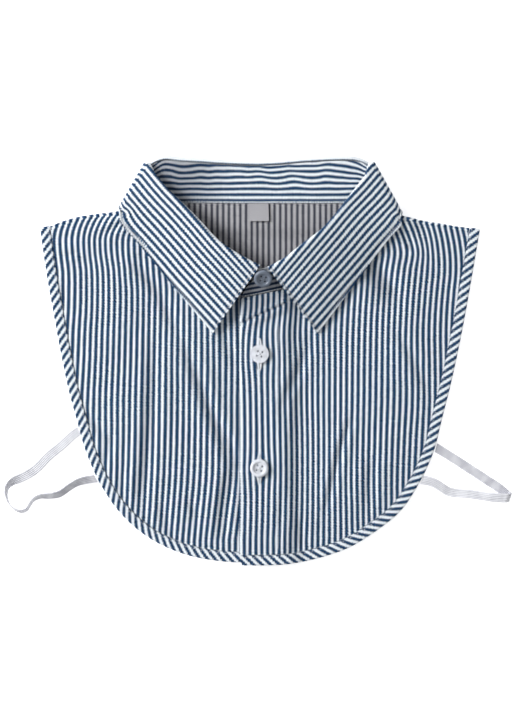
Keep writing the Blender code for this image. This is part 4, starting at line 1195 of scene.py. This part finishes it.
# The elastics, a row for each bend: middle x, y, z, where the width points and how far it tips, in degrees
elasticRows = {
    "elastic_left": [
        (-111.9, -43.4, 1.45, 106, 0), (-116.4, -46.9, 1.0, 124, 0), (-122.2, -52.3, 0.6, 134, 0),
        (-131.3, -59.8, 0.6, 132, 0), (-138.4, -67.1, 0.7, 127, 4), (-144.8, -71.3, 1.0, 117, 8),
        (-149.1, -73.3, 1.4, 112, 14), (-152.8, -75.0, 2.2, 124, 32), (-155.8, -77.9, 2.9, 148, 56),
        (-157.0, -81.4, 3.3, 175, 70), (-156.5, -85.4, 3.4, 190, 82), (-154.9, -89.0, 3.4, 208, 92),
        (-151.8, -92.2, 3.4, 235, 99), (-147.6, -93.6, 3.3, 262, 106), (-144.2, -92.6, 3.3, 300, 106),
        (-142.2, -89.6, 3.3, 324, 106), (-139.6, -86.2, 3.2, 314, 112), (-135.9, -84.4, 3.1, 290, 120),
        (-130.2, -84.1, 2.9, 273, 128), (-123.6, -82.8, 2.6, 288, 138), (-118.3, -79.2, 2.5, 305, 140),
        (-112.7, -75.8, 2.2, 295, 148), (-107.6, -74.4, 1.9, 283, 156), (-101.0, -73.3, 1.8, 294, 164),
    ],
    "elastic_right": [
        (109.9, -54.0, 1.45, 76, 0), (115.0, -57.2, 1.0, 62, 0), (125.5, -63.9, 0.6, 57, 0),
        (133.7, -69.2, 0.6, 57, 0), (141.9, -74.6, 0.6, 58, 0), (148.1, -78.6, 0.6, 61, 0),
        (152.4, -82.0, 0.6, 66, 0), (154.6, -84.0, 0.9, 69, 0), (155.7, -85.0, 1.9, 71, 0),
        (154.6, -85.2, 2.9, 73, 0), (151.4, -85.2, 3.3, 78, 0), (146.1, -84.9, 3.2, 82, 0),
        (137.8, -83.9, 2.4, 83, -18), (129.6, -82.8, 1.8, 83, -18), (121.4, -82.1, 1.3, 85, -10),
        (117.0, -81.1, 1.2, 74, 0), (113.0, -78.6, 1.6, 60, 6), (108.8, -75.9, 1.9, 62, 8),
        (104.6, -74.6, 1.7, 72, 4), (101.0, -74.1, 1.5, 66, 0),
    ],
}
elasticLooks = {
    "width": 5.3, "wall": 0.75, "ribs": 5, "ribHeight": 0.14, "cadWall": 1.0, "cadWidth": 5.4, "stations": 200
}


def makeElasticBand(node):
    looks = elasticLooks
    rows = Curve(elasticRows[node]).at(evenly(looks["stations"]))
    heading, tilt = np.radians(rows[:, 3]), np.radians(rows[:, 4])
    width = np.stack([np.cos(tilt) * np.cos(heading), np.cos(tilt) * np.sin(heading), np.sin(tilt)], axis=-1)
    reach = (looks["cadWidth"] * np.abs(width[:, 2]) + looks["cadWall"] * np.abs(np.cos(tilt))) / 2
    middle = np.stack([rows[:, 0], rows[:, 1], np.maximum(rows[:, 2], reach + 0.02)], axis=-1)
    shares = evenly(looks["ribs"] * 6)
    grid = middle[:, None] + width[:, None] * looks["width"] * (shares - 0.5)[None, :, None]
    ribs = looks["ribHeight"] * np.abs(np.sin(math.pi * looks["ribs"] * shares))
    grid = grid + normalsOf(grid) * ribs[None, :, None]
    s = alongRows(middle)
    bandMap = np.stack(np.broadcast_arrays(shares[None] * looks["ribs"], s[:, None] / 1.2), axis=-1)
    name = "elasticLeft" if node == "elastic_left" else "elasticRight"
    piece = gridPiece(name, grid, bandMap, [elastic])
    giveWall(piece, looks["wall"])
    register(piece, node)
    return piece, s[-1]


elasticLeft, leftLength = makeElasticBand("elastic_left")
elasticRight, rightLength = makeElasticBand("elastic_right")
print("label and elastics made", round(leftLength), round(rightLength))


stitchLooks = {"length": 1.05, "spacing": 1.68, "radius": 0.17, "sides": 6, "sink": 0.5}


def threads(name, starts, ends, normals, radius, arch, material=None):
    # One short rounded length of thread from each start to its end, rising by arch between them
    sides = stitchLooks["sides"]
    along = ends - starts
    across = unit(np.cross(along, normals))
    up = unit(np.cross(across, along))
    places = np.array([0.0, 0.04, 0.2, 0.5, 0.8, 0.96, 1.0])
    widths = np.array([0.25, 0.7, 1.0, 1.0, 1.0, 0.7, 0.25]) * radius
    rises = np.sin(math.pi * places) * arch
    centres = starts[:, None] + along[:, None] * places[None, :, None] + up[:, None] * rises[None, :, None]
    turns = np.arange(sides) * 2 * math.pi / sides
    ring = (
        across[:, None, None] * np.cos(turns)[None, None, :, None] + up[:, None, None] * np.sin(turns)[None, None, :, None]
    )
    points = centres[:, :, None] + ring * widths[None, :, None, None]
    rings = len(places)
    i, j = np.meshgrid(np.arange(rings - 1), np.arange(sides), indexing="ij")
    following = (j + 1) % sides
    quads = np.stack([i * sides + j, i * sides + following, (i + 1) * sides + following, (i + 1) * sides + j], axis=-1)
    quads = quads.reshape(-1, 4)
    each = rings * sides
    every = (quads[None] + (np.arange(len(starts)) * each)[:, None, None]).reshape(-1, 4)
    caps = []
    for n in range(len(starts)):
        caps.append([n * each + k for k in range(sides)][::-1])
        caps.append([n * each + (rings - 1) * sides + k for k in range(sides)])
    mesh = bpy.data.meshes.new(name)
    mesh.from_pydata(((points.reshape(-1, 3) + shift) * mm).tolist(), [], [*every.tolist(), *caps])
    mesh.materials.append(material or whiteThread)
    piece = bpy.data.objects.new(name, mesh)
    bpy.context.collection.objects.link(piece)
    pick(piece)
    bpy.ops.object.mode_set(mode="EDIT")
    bpy.ops.mesh.select_all(action="SELECT")
    bpy.ops.mesh.normals_make_consistent(inside=False)
    bpy.ops.object.mode_set(mode="OBJECT")
    bpy.ops.object.shade_smooth()
    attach(piece, "root")
    return piece


def stitchRun(name, path, normals, radius=stitchLooks["radius"], length=stitchLooks["length"]):
    # Even stitches along a path that lies on the cloth
    looks = stitchLooks
    s = alongRows(path)
    count = int((s[-1] - 1.0) / looks["spacing"])
    begins = 0.6 + looks["spacing"] * np.arange(count)

    def at(values, places):
        return np.stack([np.interp(places, s, values[:, k]) for k in range(3)], axis=-1)

    middle = unit(at(normals, begins + length / 2))
    sunk = middle * looks["sink"] * radius
    starts, ends = at(path, begins) - sunk, at(path, begins + length) - sunk
    return threads(name, starts, ends, middle, radius, 0.12)


fallNormals = -normalsOf(fallGrid)
half = collarLooks["wall"] / 2
edgeColumn, firstRow = 31, int(np.argmin(np.abs(alongRows(fallGrid[:12, 24]) - collarLooks["stitchIn"])))
edgePath = fallGrid[firstRow : len(fallGrid) - firstRow, edgeColumn]
edgeNormals = fallNormals[firstRow : len(fallGrid) - firstRow, edgeColumn]
if edgeNormals[5, 2] < 0:
    fallNormals, edgeNormals = -fallNormals, -edgeNormals
collarStitching = stitchRun("leafStitching", edgePath + edgeNormals * half, edgeNormals)
for name, row in (("leafEndStitchingLeft", firstRow), ("leafEndStitchingRight", len(fallGrid) - 1 - firstRow)):
    path, normals = fallGrid[row, 9:edgeColumn], fallNormals[row, 9:edgeColumn]
    stitchRun(name, path + normals * half, normals)
standPath = (standGrid[:, -1] + standGrid[:, -2]) / 2
standNormals = unit(np.cross(np.gradient(standGrid, axis=0), np.gradient(standGrid, axis=1)))[:, -1]
standNormals = np.where(standNormals[:, 2:] < 0, -standNormals, standNormals)
standStitching = stitchRun("standStitching", standPath + standNormals * half, standNormals)
bindingStitching = stitchRun("bindingStitching", bindingSeam, bindingFacing)


def onLeftFront(xy, above):
    z = frontHeight("right", xy) + stitchPuckers("right", xy) + frontLooks["wall"] / 2 + above
    return np.concatenate([xy, z[..., None]], axis=-1)


def shadowStrip(name, x, ys, halves):
    # A dark strip of uneven width on the wearer's left front: painted shade for the open slit between threads, and
    # painted shadow where it widens
    grid = np.stack([np.stack([x + side * halves, ys], axis=-1) for side in (-1, 0, 1)], axis=1)
    piece = gridPiece(name, onLeftFront(grid, 0.13), grid, [shadowCloth])
    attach(piece, "root")
    return piece


# Name, place, top, height above the cloth, the thread's radius and the stitches' length
placketRows = [
    ("placketStitchingEdge", -10.7, 38.0, 0.0, 0.17, 1.05),
    ("placketStitchingInner", 11.9, 42.0, 0.12, 0.30, 0.80),
]
for name, x, top, above, radius, length in placketRows:
    y = np.linspace(top, -119.0, 320)
    path = onLeftFront(np.stack([np.full(len(y), x), y], axis=-1), above)
    stitchRun(name, path, np.tile([0.0, 0.0, 1.0], (len(y), 1)), radius, length)
print("stitching made")

buttonLooks = {
    "radius": 5.7, "sideHeight": 0.8, "under": (0.8, 0.4),
    # Steps in from the edge of the face, and up
    "face": [
        (0.15, 0.35), (0.3, 0.35), (0.45, 0.2), (0.8, 0.0), (0.2, -0.08), (0.25, -0.3), (0.25, -0.3), (0.5, -0.1), (1.0, 0.0)
    ],
    "holeRadius": 0.62, "holeSpread": 2.0, "holeTurn": 33, "wellHeight": 1.32, "threadRadius": 0.2,
    "lift": 0.8, "standLift": 1.3,
    "places": {"button_upper": (0.4, 4.1), "button_lower": (0.2, -66.7), "button_stand": (2.5, 51.6)},
}


def buttonSeat(node):
    x, y = buttonLooks["places"][node]
    if node != "button_stand":
        xy = np.array([x, y])
        return np.array([x, y, frontHeight("right", xy) + buttonLooks["lift"]]), np.array([0.0, 0.0, 1.0])
    over = standGrid[len(standGrid) // 2 :]
    away = np.linalg.norm(over[2:-2, 2:-2, :2] - [x, y], axis=2)
    i, j = np.unravel_index(away.argmin(), away.shape)
    i, j = i + 2, j + 2
    normal = unit(np.cross(over[i + 2, j] - over[i - 2, j], over[i, j + 2] - over[i, j - 2]))
    normal = normal if normal[2] > 0 else -normal
    offset = over[i, j][:2] - [x, y]
    seat = np.array([x, y, over[i, j][2] + offset @ normal[:2] / normal[2]])
    return seat + normal * buttonLooks["standLift"], normal


def makeButton(node):
    looks = buttonLooks
    seat, normal = buttonSeat(node)
    tilt, heading = math.acos(normal[2]), math.atan2(normal[1], normal[0])
    deselect()
    middle = looks["under"][1] + looks["sideHeight"] / 2
    bpy.ops.mesh.primitive_cylinder_add(
        vertices=64, radius=looks["radius"] * mm, depth=looks["sideHeight"] * mm, location=(0, 0, middle * mm)
    )
    piece = bpy.context.object
    piece.name = piece.data.name = node.replace("button_", "button").replace("_", "")
    bpy.ops.object.transform_apply(location=True, rotation=True, scale=True)
    for direction, steps in ((1, looks["face"]), (-1, [looks["under"]])):
        for face in piece.data.polygons:
            face.select = face.normal.z * direction > 0.9
        bpy.ops.object.mode_set(mode="EDIT")
        bpy.ops.mesh.select_mode(type="FACE")
        for inset, rise in steps:
            bpy.ops.mesh.inset(thickness=inset * mm, use_even_offset=True)
            bpy.ops.transform.translate(value=(0, 0, rise * mm * direction))
        bpy.ops.mesh.select_all(action="DESELECT")
        bpy.ops.object.mode_set(mode="OBJECT")
    for k in range(4):
        turn = math.radians(looks["holeTurn"] + 90 * k) - heading
        deselect()
        bpy.ops.mesh.primitive_cylinder_add(
            vertices=20, radius=looks["holeRadius"] * mm, depth=8 * mm,
            location=(looks["holeSpread"] * mm * math.cos(turn), looks["holeSpread"] * mm * math.sin(turn), 0),
        )
        cutter = bpy.context.object
        hole = piece.modifiers.new("Hole", "BOOLEAN")
        hole.operation, hole.object = "DIFFERENCE", cutter
        applyModifiers(piece)
        bpy.data.objects.remove(cutter)
    pick(piece)
    bpy.ops.object.shade_smooth_by_angle(angle=math.radians(40))
    piece.rotation_euler = (0, tilt, heading)
    piece.location = (seat + shift) * mm
    bpy.ops.object.transform_apply(location=True, rotation=True, scale=True)
    piece.data.materials.clear()
    piece.data.materials.append(buttonShells[node])
    register(piece, node)
    starts, ends = [], []
    for k in (0, 1):
        turn = math.radians(looks["holeTurn"] + 90 * k)
        reach = np.array([math.cos(turn), math.sin(turn), 0.0]) * (looks["holeSpread"] - 0.15)
        reach = unit(reach - normal * (reach @ normal)) * np.linalg.norm(reach)
        base = seat + normal * (looks["wellHeight"] - 0.1)
        starts.append(base - reach)
        ends.append(base + reach)
    sewn = threads(
        piece.name + "Thread", np.array(starts), np.array(ends), np.tile(normal, (2, 1)), looks["threadRadius"], 0.25,
        greyThread if node == "button_stand" else whiteThread,
    )
    return [piece, sewn]


buttons = [makeButton(node) for node in buttonLooks["places"]]
print("buttons made")

buttonholeLooks = {
    "spans": {"upper": (0.4, 12.7, -5.4), "lower": (0.2, -58.6, -75.6)},
    "pitch": 0.45, "slit": 0.16, "reach": 2.0, "narrows": 0.62, "radius": 0.27, "lean": 0.9, "shadow": 0.55,
}


def makeButtonhole(which):
    # A whipped edge on both sides of a slit, and a bar across each end
    looks = buttonholeLooks
    x, top, bottom = looks["spans"][which]
    ys = np.arange(top, bottom, -looks["pitch"])
    starts, ends = [], []

    def reachAt(y):
        return looks["reach"] * (1 - looks["narrows"] * (abs(2 * y - top - bottom) / (top - bottom)) ** 2)

    for side in (-1, 1):
        for index, y in enumerate(ys):
            wobble = 0.12 * math.sin(index * 2.4 + side)
            starts.append((x + side * looks["slit"] / 2, y + wobble))
            ends.append((x + side * (looks["slit"] / 2 + reachAt(y) + wobble), y - looks["lean"] * looks["pitch"]))
    for y in (top + 0.3, top + 0.7, bottom - 0.2, bottom - 0.6):
        starts.append((x - 0.8, y))
        ends.append((x + 0.8, y))
    starts, ends = np.array(starts), np.array(ends)
    normals = np.tile([0.0, 0.0, 1.0], (len(starts), 1))
    made = threads(
        which + "ButtonholeStitching", onLeftFront(starts, 0.05), onLeftFront(ends, 0.05), normals, looks["radius"], 0.15
    )
    ys = np.linspace(top, bottom, 60)
    # Below the button's middle the strip widens into a painted shadow of the button
    underButton = smooth((top + bottom) / 2 - ys, 4.5, 5.5)
    halves = looks["slit"] + underButton * (reachAt(ys) + looks["shadow"])
    return [made, shadowStrip(which + "ButtonholeSlit", x, ys, halves)]


buttonholes = [makeButtonhole(which) for which in buttonholeLooks["spans"]]
print("buttonholes made")

backArea * 1e-6
rightArea * 1e-6
leftArea * 1e-6
sheetArea(fallGrid) * 1e-6
sheetArea(standGrid) * 1e-6
bindingLength * mm

lightLooks = {"sky": 0.43, "keyPower": 136.0, "keySize": 1.3, "keyPlace": (-2.6, 0.95, 1.7), "floorGlow": 0.64}
deselect()
bpy.ops.mesh.primitive_plane_add(size=12, location=(0, 0, -0.0002))
floor = bpy.context.object
floor.name = floor.data.name = "floor"
floorShader = Shader("paleFloor")
floorPlace = floorShader.out("ShaderNodeTexCoord", None, None, "Object")
floorTone = floorShader.noise(floorPlace, 3.0, 2.0)
floor.data.materials.append(
    floorShader.finish(
        Base_Color=floorShader.blendColours(floorTone, (0.93, 0.93, 0.93), (0.95, 0.95, 0.95)),
        Roughness=0.9 + floorTone * 0.05, Specular_IOR_Level=0.1,
        Emission_Color=(1.0, 1.0, 1.0), Emission_Strength=lightLooks["floorGlow"],
    )
)

world = bpy.data.worlds.new("softSky")
bpy.context.scene.world = world
world.use_nodes = True
world.node_tree.nodes["Background"].inputs["Color"].default_value = (1.0, 1.0, 1.0, 1.0)
world.node_tree.nodes["Background"].inputs["Strength"].default_value = lightLooks["sky"]
keyLight = bpy.data.lights.new("keyLight", "AREA")
keyLight.energy, keyLight.size = lightLooks["keyPower"], lightLooks["keySize"]
key = bpy.data.objects.new("keyLight", keyLight)
bpy.context.collection.objects.link(key)
key.location = lightLooks["keyPlace"]
key.rotation_euler = (-Vector(lightLooks["keyPlace"])).to_track_quat("-Z", "Y").to_euler()

cameraLooks = {"height": 3.0, "plane": 0.005, "seen": 0.4464, "centre": (0.0008, 0.0003)}
lens = bpy.data.cameras.new("camera")
camera = bpy.data.objects.new("camera", lens)
bpy.context.collection.objects.link(camera)
camera.location = (*cameraLooks["centre"], cameraLooks["height"] + cameraLooks["plane"])
lens.sensor_fit, lens.sensor_height = "VERTICAL", 36.0
lens.lens = 36.0 * cameraLooks["height"] / cameraLooks["seen"]
lens.clip_end = 20.0
bpy.context.scene.camera = camera
bpy.context.scene.view_settings.view_transform = "Standard"
print("stage set")

bpy.context.view_layer.update()
